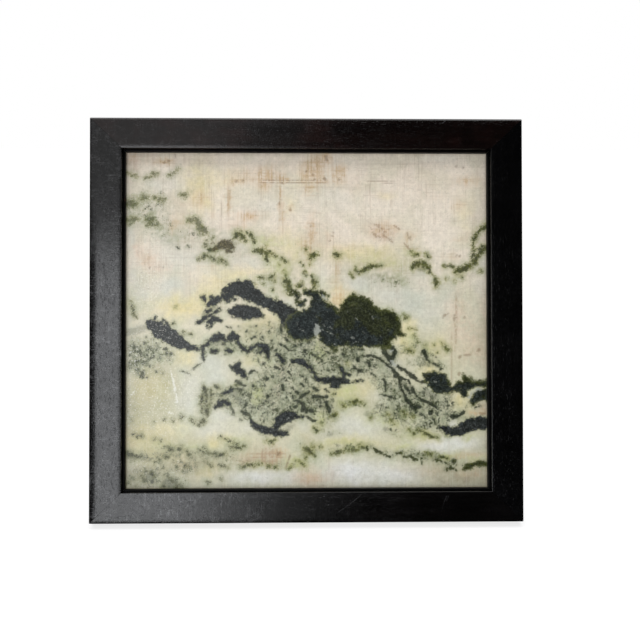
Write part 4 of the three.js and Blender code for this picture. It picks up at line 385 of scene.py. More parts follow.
# Fine scratches and stained lines, and two of painted shadow under the top edge: (x0, y0, x1, y1, half-width, strength)
LINES = [
    (221, 200, 220.6, 234, 0.5, 0.4), (228.4, 186, 228, 214, 0.7, 0.35), (279.6, 190, 279.4, 226, 0.5, 0.4), (243.5, 208, 243.5, 216, 0.4, 0.4), (272.4, 171, 272.4, 186, 0.45, 0.4), (208.5, 181, 208.5, 189, 0.45, 0.5),
    (198.6, 197, 198.4, 203, 0.5, 0.4), (224, 219.6, 234, 219.8, 0.4, 0.3), (226, 225.6, 240, 225.4, 0.4, 0.28), (311, 232, 311, 262, 0.7, 0.25), (326, 236, 325.6, 260, 0.35, 0.3), (324, 160, 324, 190, 0.3, 0.25),
    (456.4, 292, 456, 350, 0.6, 0.85), (451.6, 330, 451.4, 402, 0.5, 0.7), (455.2, 318, 455, 360, 0.4, 0.6), (374, 224, 374, 238, 0.4, 0.4), (378.5, 222, 378.5, 243, 0.4, 0.35), (383, 226, 383, 244, 0.5, 0.5), (389, 224, 389, 240, 0.35, 0.3), (370, 229, 392, 229.2, 0.4, 0.4), (372, 234.3, 397, 234, 0.35, 0.35), (376, 240, 392, 240.2, 0.4, 0.3), (445.6, 300, 445.4, 322, 0.4, 0.3), (484, 300, 484, 330, 0.6, 0.25), (150.6, 267.5, 162, 267.4, 0.35, 0.55),
    (335.5, 262, 335.6, 270, 0.5, 0.35), (397, 288, 396.6, 306, 0.35, 0.3), (186, 268, 186, 300, 0.35, 0.25), (189.4, 270, 189.2, 300, 0.35, 0.25), (149.4, 238, 149.4, 262, 0.4, 0.25), (128, 197.2, 136, 197, 0.45, 0.4),
    # the two long lines at 156 down, just under the top edge, are painted shadow of the top slip
    (328.6, 456, 328.2, 472, 0.4, 0.35), (333.4, 470, 333, 480, 0.4, 0.35), (127, 156.2, 230, 155.6, 0.5, 0.35), (230, 155.8, 330, 156.2, 0.4, 0.25), (270, 445, 270, 468, 0.4, 0.4), (274, 444, 274, 470, 0.35, 0.35), (266, 447, 266, 466, 0.35, 0.3),
    (258, 453.4, 288, 453.4, 0.4, 0.4), (262, 458.6, 276, 458.6, 0.35, 0.3), (430, 235.4, 440, 235.4, 0.35, 0.25), (420, 196, 470, 195.6, 0.3, 0.12), (370, 156, 370, 200, 0.3, 0.12), (262, 470, 262, 487, 0.3, 0.15), (352, 458, 352, 487, 0.3, 0.15),
    (448.4, 440, 448.4, 462, 0.35, 0.3), (436, 320, 436, 340, 0.3, 0.15), (174.6, 268, 174.6, 300, 0.3, 0.18),
    (331, 470, 331.4, 487, 0.4, 0.35),
    (262, 448, 262, 466, 0.4, 0.85), (265, 446, 265, 468, 0.4, 0.85), (268.6, 445, 268.6, 470, 0.4, 0.85), (272, 443, 272, 470, 0.4, 0.85), (248, 457, 288, 457.2, 0.4, 0.7), (246, 453.4, 290, 453.6, 0.4, 0.6), (260, 461, 280, 461, 0.4, 0.6), (246, 459.4, 262, 459.4, 0.35, 0.5), (276, 447, 276, 472, 0.4, 0.6), (280, 450, 280, 470, 0.35, 0.4), (289.6, 454, 285, 469, 0.5, 0.45), (255, 445, 255, 456, 0.4, 0.3), (241, 452, 241, 462, 0.35, 0.3), (246, 452, 246, 462, 0.35, 0.3), (470, 173, 482, 173, 0.3, 0.2),
]
# the two long brown scratches of the top: (x0, x1, y)
SCRATCHES = [(257, 324, 180.4), (256, 331, 182.9), (364, 400, 181.0), (380, 400, 183.0)]


def stroke_field(px, py, strokes, reach=9.0):
    """How far inside the nearest stroke each point is, in units of the drawing (negative outside)."""
    best = np.full(px.shape, -reach)
    for s in strokes:
        pts = s if len(s) > 1 else [s[0], s[0]]
        for (x0, y0, r0), (x1, y1, r1) in zip(pts[:-1], pts[1:]):
            m = max(r0, r1) + reach
            sel = np.nonzero((px > min(x0, x1) - m) & (px < max(x0, x1) + m) & (py > min(y0, y1) - m) & (py < max(y0, y1) + m))
            qx, qy = px[sel], py[sel]
            dx, dy = x1 - x0, y1 - y0
            t = np.clip(((qx - x0) * dx + (qy - y0) * dy) / max(dx * dx + dy * dy, 1e-6), 0, 1)
            d = np.hypot(qx - x0 - t * dx, qy - y0 - t * dy)
            best[sel] = np.maximum(best[sel], r0 + t * (r1 - r0) - d)
    return best


def blob_field(px, py, blobs):
    total = np.zeros(px.shape)
    for x, y, rx, ry, s in blobs:
        q = ((px - x) / rx) ** 2 + ((py - y) / ry) ** 2
        total = 1 - (1 - total) * (1 - s * np.exp(-q * 0.8))
    return total


def line_field(px, py, lines):
    total = np.zeros(px.shape)
    for x0, y0, x1, y1, w, s in lines:
        dx, dy = x1 - x0, y1 - y0
        t = np.clip(((px - x0) * dx + (py - y0) * dy) / max(dx * dx + dy * dy, 1e-6), 0, 1)
        d = np.hypot(px - x0 - t * dx, py - y0 - t * dy)
        fade = smooth(0, 0.12, t) * smooth(1, 0.8, t) * 0.7 + 0.3
        total = np.maximum(total, s * fade * np.exp(-((d / (w + 0.45)) ** 2)))
    return total


VIEW_X0, VIEW_X1 = -0.1828, 0.1828  # visible stone, panel frame
VIEW_Z0, VIEW_Z1 = 0.0325, 0.3722


def to_drawing(x, z):
    px = 126.3 + (x - VIEW_X0) / (VIEW_X1 - VIEW_X0) * (486.5 - 126.3)
    py = 487.8 - (z - VIEW_Z0) / (VIEW_Z1 - VIEW_Z0) * (487.8 - 153.4)
    return px, py


def stone_fields(x, z):
    """What the stone's shader reads at each vertex: a ground colour, and how far
    inside each kind of mark the vertex lies."""
    px, py = to_drawing(x, z)
    # a slow warp bends the drawn shapes a little, a quicker one frays their edges
    sx, sy = (fbm(px / 15, py / 15, 11, 2) - 0.5) * 5, (fbm(px / 15, py / 15, 31, 2) - 0.5) * 5
    fx, fy = (fbm(px / 5, py / 5, 51, 2) - 0.5) * 5, (fbm(px / 5, py / 5, 61, 2) - 0.5) * 5
    bx, by = px + sx * 2 + fx, py + sy * 2 + fy
    qx, qy = px + sx * 0.3 + fx * 0.55, py + sy * 0.3 + fy * 0.55
    n_big, n_mid, n_sm = fbm(px / 30, py / 30, 71, 3), fbm(px / 9, py / 9, 81, 3), fbm(px / 4, py / 4, 91, 2)

    yellow, pink, white = (blob_field(bx, by, b) for b in (YELLOW, PINK, WHITE))
    moss = blob_field(bx, by, MOSS)
    soft = blob_field(px + fx * 1.2, py + fy * 1.2, SOFT)

    def over(base, colour, a):
        a = np.clip(a, 0, 1)[..., None]
        return base * (1 - a) + lin(colour) * a

    u, v = (px - 126) / 361, (py - 153) / 335
    g = np.ones(px.shape + (3,)) * lin((242, 231, 214))
    g = over(g, (214, 212, 182), smooth(0.2, 0.75, v) * 0.85)
    g = over(g, (208, 206, 176), smooth(0.42, 0.66, n_big) * (0.3 + 0.25 * smooth(0.2, 0.5, v)))
    g = over(g, (206, 212, 186), smooth(0.50, 0.70, fbm(px / 22, py / 26, 131, 2)) * 0.4 * smooth(0.2, 0.5, v))
    g = over(g, (243, 226, 160), yellow * (0.75 + 0.5 * (n_mid - 0.5) * 2) * 0.95)
    # painted light: the white is greyer in the upper half and brightest near the foot, making up for the light that
    # falls off towards the bottom
    low = smooth(0.55, 0.85, v)[..., None]
    cloud = np.clip(white * (0.88 + 0.4 * (n_mid - 0.5)) * 0.95, 0, 1)[..., None]
    g = g * (1 - cloud) + (lin((211, 214, 203)) * (1 - low) + lin((239, 240, 239)) * low) * cloud
    g = over(g, (222, 192, 168), pink * (0.7 + 1.2 * (n_sm - 0.5)) * 0.75)
    g = over(g, (156, 161, 134), moss * (0.95 + 2.2 * (n_mid - 0.5) + 1.6 * (n_sm - 0.5)) * 0.92)
    g = over(g, (122, 130, 84), soft * (0.85 + 2.8 * (n_sm - 0.5)) * 0.85)
    g = over(g, (176, 168, 124), blob_field(bx, by, OCHRE) * (0.8 + 1.6 * (n_mid - 0.5)))
    g = over(g, (204, 209, 146), blob_field(bx, by, LIME) * (0.9 + 2.0 * (n_sm - 0.5)))
    g = over(g, (194, 154, 142), blob_field(px + fx * 0.5, py + fy * 0.5, ROSE) * (0.85 + 1.6 * (n_sm - 0.5)))
    g = g * (1 + (n_sm[..., None] - 0.5) * 0.08 + (n_mid[..., None] - 0.5) * 0.13)
    # painted shade towards some edges and corners of the slab
    g = over(g, (150, 140, 118), blob_field(bx, by, SHADE) * (0.8 + 1.2 * (n_mid - 0.5)))
    # painted shade: the rim of the slab is darker, where the slip shades it
    rim = np.minimum.reduce([px - 126, 487 - px, py - 153, 488 - py])
    g = over(g, (120, 104, 88), smooth(3.5, 0.0, rim + (n_mid - 0.5) * 3) * 0.35)

    lace = np.clip(moss * 1.3 - 0.16 + 0.55 * soft * smooth(0.3, 0.5, v), 0, 1) * (0.55 + 0.45 * smooth(0.3, 0.5, v))
    lace = np.clip(lace * (1 + 2.4 * (fbm(px / 12, py / 12, 141, 2) - 0.5)), 0, 1)
    fields = {
        "ground": g, "lace": lace, "tan": blob_field(px + fx * 1.5, py + fy * 1.5, TAN), "pinks": pink,
        "weave": np.clip(1.1 - 0.9 * smooth(0.25, 0.6, v) + 0.5 * smooth(0.88, 1.0, v), 0, 1),
        "slate": stroke_field(qx, qy, SLATE), "coal": stroke_field(qx, qy, COAL),
        "thread": stroke_field(px + fx * 0.35, py + fy * 0.35, THREAD), "olive": stroke_field(qx, qy, OLIVE),
        # grey: painted reflection, the marks made greyer and lighter towards the left and lower left, where the
        # window's sheen lies
        "brown": stroke_field(px, py, BROWN), "umber": stroke_field(qx, qy, UMBER), "mossy": smooth(436, 446, py) * smooth(290, 340, px), "grey": smooth(262, 214, px) * (0.35 + 0.35 * smooth(0.45, 0.7, v)), "island": stroke_field(qx, qy, ISLAND), "lines": line_field(px, py, LINES),
        "firm": 0.88 - 0.33 * smooth(225, 195, px) * smooth(250, 235, py) - 0.2 * smooth(400, 370, px) * smooth(436, 450, py) * smooth(0.4, 0.6, n_mid),
        "flow": np.clip(smooth(335, 385, px) * smooth(335, 350, py) * smooth(447, 437, py) - smooth(437, 449, py)
                        - 0.8 * smooth(245, 225, px) * smooth(385, 372, py), -1, 1),
        "cool": np.clip(blob_field(qx, qy, COOL) * 1.4, 0, 1), "veil": stroke_field(qx, qy, VEIL), "glint": stroke_field(px, py, GLINT), "sparkle": blob_field(px, py, SPARKLE),
    }
    return fields


# ---------------------------------------------------------------- node helpers
class Nodes:
    def __init__(self, name):
        self.mat = bpy.data.materials.new(name)
        self.mat.use_nodes = True
        self.t = self.mat.node_tree
        self.t.nodes.clear()
        self.out = self.t.nodes.new("ShaderNodeOutputMaterial")
        self.bsdf = self.t.nodes.new("ShaderNodeBsdfPrincipled")
        self.t.links.new(self.bsdf.outputs[0], self.out.inputs[0])

    def link(self, a, b):
        self.t.links.new(a, b)

    def _in(self, node, key, value):
        if value is None:
            return
        if isinstance(value, bpy.types.NodeSocket):
            self.link(value, node.inputs[key])
        else:
            node.inputs[key].default_value = value

    def math(self, op, a, b=None, c=None, clamp=False):
        n = self.t.nodes.new("ShaderNodeMath")
        n.operation = op
        n.use_clamp = clamp
        for i, v in enumerate((a, b, c)):
            self._in(n, i, v)
        return n.outputs[0]

    def mix(self, fac, a, b, blend="MIX"):
        n = self.t.nodes.new("ShaderNodeMix")
        n.data_type = "RGBA"
        n.blend_type = blend
        self._in(n, 0, fac)
        self._in(n, 6, a if isinstance(a, bpy.types.NodeSocket) else (*a, 1))
        self._in(n, 7, b if isinstance(b, bpy.types.NodeSocket) else (*b, 1))
        return n.outputs[2]

    def ramp(self, value, lo, hi, to0=0.0, to1=1.0):
        n = self.t.nodes.new("ShaderNodeMapRange")
        n.interpolation_type = "SMOOTHSTEP"
        self._in(n, 0, value)
        for i, v in enumerate((lo, hi, to0, to1)):
            n.inputs[i + 1].default_value = v
        return n.outputs[0]

    def noise(self, vec, scale, detail=4.0, rough=0.55, dist=0.0):
        n = self.t.nodes.new("ShaderNodeTexNoise")
        self._in(n, "Vector", vec)
        n.inputs["Scale"].default_value = scale
        n.inputs["Detail"].default_value = detail
        n.inputs["Roughness"].default_value = rough
        n.inputs["Distortion"].default_value = dist
        return n.outputs["Fac"]

    def coords(self, kind="Object", scale=(1, 1, 1), rot=(0, 0, 0), loc=(0, 0, 0)):
        c = self.t.nodes.new("ShaderNodeTexCoord")
        m = self.t.nodes.new("ShaderNodeMapping")
        m.inputs["Location"].default_value = loc
        m.inputs["Rotation"].default_value = rot
        m.inputs["Scale"].default_value = scale
        self.link(c.outputs[kind], m.inputs[0])
        return m.outputs[0]

    def attr(self, name):
        n = self.t.nodes.new("ShaderNodeAttribute")
        n.attribute_name = name
        return n.outputs["Fac"]

    def colour(self, name):
        n = self.t.nodes.new("ShaderNodeAttribute")
        n.attribute_name = name
        return n.outputs["Color"]

    def bump(self, height, strength, distance):
        n = self.t.nodes.new("ShaderNodeBump")
        n.inputs["Strength"].default_value = strength
        n.inputs["Distance"].default_value = distance
        self._in(n, "Height", height)
        self.link(n.outputs[0], self.bsdf.inputs["Normal"])
        return n


# ---------------------------------------------------------------- stone
def warped(n, vec, scale, amount):
    """The same coordinates, pushed about by noise."""
    t = n.t.nodes.new("ShaderNodeTexNoise")
    n.link(vec, t.inputs["Vector"])
    t.inputs["Scale"].default_value = scale
    t.inputs["Detail"].default_value = 2
    m = n.t.nodes.new("ShaderNodeVectorMath")
    m.operation = "MULTIPLY_ADD"
    n.link(t.outputs["Color"], m.inputs[0])
    m.inputs[1].default_value = (amount,) * 3
    n.link(vec, m.inputs[2])
    return m.outputs[0]


def cell_edges(n, vec, scale):
    """Distance to the nearest edge of a net of cells."""
    t = n.t.nodes.new("ShaderNodeTexVoronoi")
    t.feature = "DISTANCE_TO_EDGE"
    n.link(vec, t.inputs["Vector"])
    t.inputs["Scale"].default_value = scale
    return t.outputs["Distance"]


def stretched(n, vec, angle, sx, sz):
    """Coordinates turned in the slab's face and stretched along and across."""
    turn = n.t.nodes.new("ShaderNodeMapping")
    turn.inputs["Rotation"].default_value = (0, angle, 0)
    n.link(vec, turn.inputs[0])
    m = n.t.nodes.new("ShaderNodeMapping")
    m.inputs["Scale"].default_value = (sx, 50, sz)
    n.link(turn.outputs[0], m.inputs[0])
    return m.outputs[0]


def stone_material():
    n = Nodes("figured_stone")
    mul, add, sub, most = (lambda a, b, op=op: n.math(op, a, b) for op in ("MULTIPLY", "ADD", "SUBTRACT", "MAXIMUM"))

    def tone(*c):
        return tuple(lin(c))

    vec = n.coords("Object", rot=(LEAN, 0, 0))  # x across and z up the slab, in metres
    fine = n.noise(vec, 800, 3, 0.6)
    mid = n.noise(vec, 300, 4, 0.6, 0.2)
    coarse = n.noise(vec, 95, 4, 0.55)
    slow = n.noise(vec, 45, 3, 0.5)
    # fine scratches up and across, as from the last polish
    up = n.noise(n.coords("Object", scale=(560, 50, 24)), 1.0, 3, 0.6)
    across = n.noise(n.coords("Object", scale=(20, 50, 520)), 1.0, 3, 0.6)
    # how far the fine noise pushes the edge of a mark, in millimetres
    fray = add(add(mul(sub(mid, 0.5), 9.0), mul(sub(fine, 0.5), 5.5)), mul(sub(coarse, 0.5), 4.0))
    weave, pinks, tan, lace = (n.attr(a) for a in ("weave", "pinks", "tan", "lace"))
    # thicker and thinner in patches, and hanging in streaks
    hang = n.noise(n.coords("Object", scale=(230, 50, 62)), 1.0, 3, 0.6)
    lace = mul(lace, mul(n.ramp(coarse, 0.40, 0.60, 0.52, 1.36), n.ramp(hang, 0.40, 0.60, 0.72, 1.30)))
    sl, co, ol, th = (n.attr(a) for a in ("slate", "coal", "olive", "thread"))

    base = n.mix(1.0, n.colour("ground"), mul(n.ramp(mid, 0.30, 0.70, 0.955, 1.035), n.ramp(fine, 0.30, 0.70, 0.965, 1.03)), "MULTIPLY")
    patchy = n.ramp(slow, 0.38, 0.62, 0.35, 1.0)
    base = n.mix(mul(mul(n.ramp(up, 0.50, 0.74), add(mul(weave, 0.17), mul(pinks, 0.28))), patchy), base, tone(160, 130, 102))
    base = n.mix(mul(mul(n.ramp(across, 0.52, 0.75), weave), 0.12), base, tone(158, 130, 106))
    base = n.mix(mul(n.ramp(up, 0.44, 0.27), 0.10), base, tone(238, 234, 220))
    base = n.mix(mul(n.ramp(across, 0.42, 0.27), 0.06), base, tone(238, 234, 220))
    # brown stains, streaked
    stain = n.ramp(add(mul(n.math("MAXIMUM", up, across), 0.55), mul(mid, 0.45)), 0.44, 0.60)
    base = n.mix(mul(tan, n.ramp(add(mul(coarse, 0.6), mul(up, 0.4)), 0.40, 0.58, 0.10, 0.80)), base, tone(222, 194, 156))
    base = n.mix(mul(mul(tan, stain), 0.66), base, tone(200, 166, 122))
    base = n.mix(mul(mul(tan, n.ramp(add(mul(fine, 0.6), mul(up, 0.4)), 0.52, 0.64)), 0.50), base, tone(150, 114, 76))
    # a linen of hair-fine scratches over the upper part
    hair_up = n.noise(n.coords("Object", scale=(1050, 50, 34)), 1.0, 2, 0.5)
    hair_across = n.noise(n.coords("Object", scale=(30, 50, 1050)), 1.0, 2, 0.5)
    linen = mul(n.math("MAXIMUM", n.ramp(hair_up, 0.56, 0.70), mul(n.ramp(hair_across, 0.57, 0.70), 0.85)), mul(n.ramp(coarse, 0.40, 0.62, 0.15, 1.0), n.ramp(slow, 0.40, 0.58, 0.25, 1.0)))
    base = n.mix(mul(mul(linen, weave), 0.30), base, tone(156, 124, 92))
    base = n.mix(mul(mul(n.ramp(hair_up, 0.42, 0.30), weave), 0.22), base, tone(248, 244, 232))
    # stained lines and scratches; the long ones under the top edge are painted shadow of the slip
    base = n.mix(mul(mul(n.attr("lines"), n.ramp(mid, 0.32, 0.58)), 0.7), base, tone(146, 114, 88))
    # the mottled, lace-like ground: crumbs, dashes that follow the flow of the
    # figure, and a broken net of threads
    warp = n.coords("Object", rot=(LEAN, 0, 0), loc=(0.31, 0.17, 0.53))
    bent = warped(n, warp, 210, 0.022)
    swung = warped(n, warp, 70, 0.05)
    flow = n.attr("flow")
    down = n.math("MAXIMUM", flow, 0.0)
    level = n.math("MAXIMUM", mul(flow, -1.0), 0.0)
    rest = sub(sub(1.0, down), level)
    dashes = add(mul(n.noise(stretched(n, swung, 0.0, 520, 190), 1.0, 3, 0.6), rest),
                 add(mul(n.noise(stretched(n, swung, 0.70, 560, 130), 1.0, 3, 0.6), down),
                     mul(n.noise(stretched(n, swung, 0.12, 170, 520), 1.0, 3, 0.6), level)))
    grit = n.noise(warp, 290, 3, 0.6, 0.3)
    mark = add(mul(dashes, 0.5), mul(grit, 0.5))
    near = n.ramp(most(most(sl, co), ol), -5.0, 0.0)
    broken = n.ramp(add(n.noise(warp, 130, 3, 0.6), mul(lace, 0.10)), 0.50, 0.60)
    wire = mul(n.ramp(cell_edges(n, bent, 190), 0.075, 0.02), broken)
    dark = n.ramp(add(mark, add(mul(lace, 0.056), mul(near, 0.012))), 0.572, 0.626)
    pepper = n.ramp(add(n.noise(warp, 560, 2, 0.55), add(mul(lace, 0.09), mul(near, 0.05))), 0.635, 0.69)
    mottle = n.ramp(add(n.noise(swung, 130, 4, 0.65, 0.8), mul(lace, 0.09)), 0.52, 0.66)
    lace_c = n.mix(n.ramp(lace, 0.15, 0.6), tone(112, 118, 84), n.mix(n.ramp(slow, 0.42, 0.58), tone(60, 66, 40), tone(54, 60, 50)))
    base = n.mix(mul(n.ramp(lace, 0.0, 0.5), mul(mottle, 0.62)), base, tone(112, 117, 92))
    base = n.mix(mul(n.ramp(lace, 0.05, 0.5), mul(wire, 0.38)), base, lace_c)
    base = n.mix(mul(n.ramp(lace, 0.0, 0.35, 0.15, 0.45), pepper), base, lace_c)
    base = n.mix(mul(n.ramp(lace, 0.0, 0.35, 0.15, 0.84), dark), base, lace_c)
    base = n.mix(mul(mul(n.ramp(lace, 0.1, 0.6), n.ramp(mark, 0.470, 0.42)), 0.26), base, tone(214, 216, 194))
    # brown specks
    br = add(n.attr("brown"), mul(fray, 0.5))
    base = n.mix(mul(n.ramp(br, -1.4, 0.9), 0.50), base, tone(116, 86, 58))
    # the grey veil
    ve = add(n.attr("veil"), mul(fray, 1.1))
    base = n.mix(mul(n.ramp(ve, -2.6, 1.6), 0.46), base, tone(104, 107, 92))
    # the marks have a mossy edge: short hairs that stand out from them
    fur = n.noise(stretched(n, bent, 0.35, 820, 300), 1.0, 3, 0.65)
    hairy = mul(sub(fur, 0.5), 6.5)
    # olive marks
    olf = add(sub(ol, 0.55), add(mul(fray, 0.9), mul(hairy, 0.5)))
    haze = n.ramp(add(ol, mul(sub(coarse, 0.5), 9.0)), -6.0, 0.6)
    # painted reflection: towards the left and lower left the marks are made greyer and lighter, where the window's
    # sheen lies on the polished face
    grey = n.attr("grey")
    hazy = n.mix(n.ramp(coarse, 0.42, 0.58), tone(172, 170, 104), tone(148, 156, 112))
    base = n.mix(mul(haze, n.ramp(fine, 0.36, 0.62, 0.22, 0.52)), base, n.mix(grey, hazy, tone(158, 158, 134)))
    base = n.mix(mul(n.ramp(olf, -2.6, -0.2), n.ramp(fur, 0.42, 0.60, 0.20, 0.75)), base, n.mix(grey, tone(118, 122, 62), tone(116, 116, 84)))
    olc = n.mix(n.ramp(mid, 0.40, 0.60), tone(82, 86, 40), tone(48, 53, 26))
    olc = n.mix(grey, olc, n.mix(n.ramp(mid, 0.40, 0.60), tone(86, 86, 62), tone(50, 52, 38)))
    olc = n.mix(mul(n.ramp(fine, 0.54, 0.66), 0.5), olc, n.mix(grey, tone(126, 130, 76), tone(136, 136, 106)))
    base = n.mix(mul(n.ramp(olf, -1.0, 1.1), n.attr("firm")), base, olc)
    umf = add(n.attr("umber"), add(mul(fray, 1.0), mul(hairy, 0.4)))
    base = n.mix(mul(n.ramp(umf, -3.6, -0.4), 0.30), base, tone(128, 124, 84))
    base = n.mix(mul(n.ramp(umf, -1.3, 1.2), 0.88), base, n.mix(n.ramp(fine, 0.46, 0.64), tone(48, 42, 24), tone(106, 98, 62)))
    # threads
    thf = add(sub(th, 0.35), mul(fray, 0.65))
    base = n.mix(mul(n.ramp(thf, -3.0, 0.2), 0.30), base, tone(124, 130, 100))
    thc = n.mix(n.ramp(fine, 0.44, 0.64), tone(31, 37, 29), tone(60, 66, 50))
    thc = n.mix(grey, thc, n.mix(n.ramp(fine, 0.44, 0.64), tone(52, 55, 40), tone(90, 93, 72)))
    thc = n.mix(n.attr("mossy"), thc, n.mix(n.ramp(fine, 0.44, 0.64), tone(42, 47, 22), tone(78, 84, 44)))
    base = n.mix(mul(n.ramp(thf, -1.1, 0.6), sub(0.93, mul(grey, 0.2))), base, thc)
    # slate, then the darker green-black masses with olive along their edges
    slf = add(sl, add(mul(fray, 0.8), mul(hairy, 0.35)))
    base = n.mix(mul(n.ramp(slf, -3.4, 0.0), 0.42), base, tone(126, 130, 100))
    base = n.mix(mul(n.ramp(slf, -1.7, -0.4), n.ramp(fur, 0.42, 0.60, 0.15, 0.65)), base, tone(84, 90, 50))
    swirl = n.noise(stretched(n, swung, -0.62, 130, 420), 1.0, 4, 0.68)
    slc = n.mix(n.ramp(mid, 0.38, 0.64), tone(18, 22, 24), tone(37, 42, 44))
    slc = n.mix(mul(n.ramp(swirl, 0.50, 0.66), 0.45), slc, tone(68, 74, 75))
    slc = n.mix(mul(n.ramp(fine, 0.55, 0.67), 0.55), slc, tone(104, 109, 108))
    base = n.mix(mul(n.ramp(slf, -1.1, 0.7), 0.97), base, slc)
    cof = add(add(co, 0.4), add(mul(fray, 0.8), mul(hairy, 0.55)))
    base = n.mix(mul(n.ramp(cof, -3.4, 0.0), 0.50), base, tone(118, 122, 76))
    base = n.mix(mul(n.ramp(cof, -2.0, -0.4), n.ramp(fur, 0.42, 0.60, 0.25, 0.85)), base, tone(74, 80, 36))
    # blue-black in places, mossy elsewhere
    cool = n.ramp(add(n.attr("cool"), mul(sub(coarse, 0.5), 3.0)), 0.35, 0.75)
    coc = n.mix(cool, tone(28, 32, 18), tone(22, 28, 29))
    coc = n.mix(mul(n.ramp(swirl, 0.50, 0.64), 0.66), coc, n.mix(cool, tone(68, 74, 44), tone(62, 71, 71)))
    coc = n.mix(mul(n.ramp(mid, 0.50, 0.68), 0.5), coc, n.mix(cool, tone(56, 63, 38), tone(48, 57, 56)))
    coc = n.mix(mul(n.ramp(fine, 0.56, 0.68), 0.58), coc, n.mix(cool, tone(96, 104, 76), tone(88, 97, 96)))
    rim = mul(n.ramp(co, 4.2, 0.3), n.ramp(fur, 0.46, 0.60))
    coc = n.mix(mul(rim, n.mix(cool, (0.75,) * 3, (0.3,) * 3)), coc, tone(78, 84, 38))
    base = n.mix(mul(n.ramp(cof, -1.1, 0.7), 0.98), base, coc)
    isf = add(n.attr("island"), mul(fray, 0.6))
    base = n.mix(mul(n.ramp(isf, -0.6, 1.1), 0.72), base, tone(178, 182, 172))
    # painted highlights: white glints and sparkle of reflected light on the polished face
    dust_and_sheen = n.ramp(n.noise(warp, 620, 2, 0.6), 0.575, 0.64)
    base = n.mix(mul(mul(n.attr("sparkle"), dust_and_sheen), 0.9), base, tone(250, 248, 238))
    base = n.mix(mul(n.ramp(add(n.attr("glint"), mul(sub(fine, 0.5), 5.0)), -0.5, 0.6), 0.6), base, tone(250, 250, 244))
    # the two long scratches across the top
    sep = n.t.nodes.new("ShaderNodeSeparateXYZ")
    n.link(vec, sep.inputs[0])
    for x0, x1, y in SCRATCHES:
        xa, xb = ((p - 126.3) / 360.2 * 0.3656 + VIEW_X0 for p in (x0, x1))
        zc = (487.8 - y) / 334.4 * 0.3397 + VIEW_Z0 + STONE_Z
        line = n.ramp(n.math("ABSOLUTE", sub(sep.outputs["Z"], zc)), 0.0009, 0.0002)
        inside = mul(n.ramp(sep.outputs["X"], xa, xa + 0.006), n.ramp(sep.outputs["X"], xb, xb - 0.012))
        base = n.mix(mul(mul(mul(line, inside), n.ramp(mid, 0.3, 0.6)), 0.55), base, tone(138, 104, 76))
    base = n.mix(1.0, base, (STONE_GAIN,) * 3, "MULTIPLY")
    n.link(base, n.bsdf.inputs["Base Color"])
    n.link(n.ramp(mid, 0.3, 0.75, 0.20, 0.34), n.bsdf.inputs["Roughness"])
    n.bsdf.inputs["IOR"].default_value = 1.5
    n.bsdf.inputs["Specular IOR Level"].default_value = 0.21
    n.bump(add(mul(fine, 0.5), add(mul(mid, 0.3), mul(up, 0.2))), 0.20, 0.00008)
    return n.mat


def make_stone():
    # the slab's own box in the panel frame, read from the CAD solid
    inv = PANEL.inverted()
    co = np.array([list(inv @ v.co) for v in NODES["stone_panel"].data.vertices])
    (xa, ya, za), (xb, yb, zb) = co.min(0), co.max(0)
    nx, nz = 312, 284
    X, Z = (a.ravel() for a in np.meshgrid(np.linspace(xa, xb, nx + 1), np.linspace(za, zb, nz + 1)))
    edge = np.minimum.reduce([X - xa, xb - X, Z - za, zb - Z])
    Y = np.where(edge < 1e-6, ya + 0.0008, ya)  # small chamfer round the slab
    # a hand-polished face is not dead flat
    Y = Y + np.where(edge > 0.004, (fbm(X * 22, Z * 22, 71, 3) - 0.5) * 0.00016, 0)
    front = np.stack([X, Y, Z], 1)
    idx = np.arange((nx + 1) * (nz + 1)).reshape(nz + 1, nx + 1)
    faces = np.stack([idx[:-1, :-1], idx[:-1, 1:], idx[1:, 1:], idx[1:, :-1]], -1).reshape(-1, 4)
    rim = np.concatenate([idx[0, :], idx[1:, -1], idx[-1, -2::-1], idx[-2:0:-1, 0]])
    nf, k = len(front), len(rim)
    back_pts = front[rim].copy()
    back_pts[:, 1] = yb
    verts = np.concatenate([front, back_pts])
    side = [[int(rim[i]), int(nf + i), int(nf + (i + 1) % k), int(rim[(i + 1) % k])] for i in range(k)]
    mesh = bpy.data.meshes.new("stone_slab")
    mesh.from_pydata([list(PANEL @ Vector(v)) for v in verts.tolist()], [], faces.tolist() + side + [list(range(nf, nf + k))])
    mesh.update()
    for name, v in stone_fields(verts[:, 0], verts[:, 2]).items():
        if v.ndim == 2:
            a = mesh.attributes.new(name, "FLOAT_COLOR", "POINT")
            rgba = np.concatenate([np.clip(v, 0.002, 1), np.ones((len(v), 1))], 1)
            a.data.foreach_set("color", rgba.astype(np.float32).ravel())
        else:
            a = mesh.attributes.new(name, "FLOAT", "POINT")
            a.data.foreach_set("value", np.clip(v, -6, 6).astype(np.float32))
    ob = bpy.data.objects.new("stone_slab", mesh)
    bpy.context.scene.collection.objects.link(ob)
    for p in mesh.polygons:
        p.use_smooth = p.index < len(faces)
    bm = bmesh.new()
    bm.from_mesh(mesh)
    bmesh.ops.recalc_face_normals(bm, faces=bm.faces[:])
    bm.to_mesh(mesh)
    bm.free()
    mesh.materials.append(stone_material())
    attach(ob, "frame")
    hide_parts("stone_panel")
    return ob


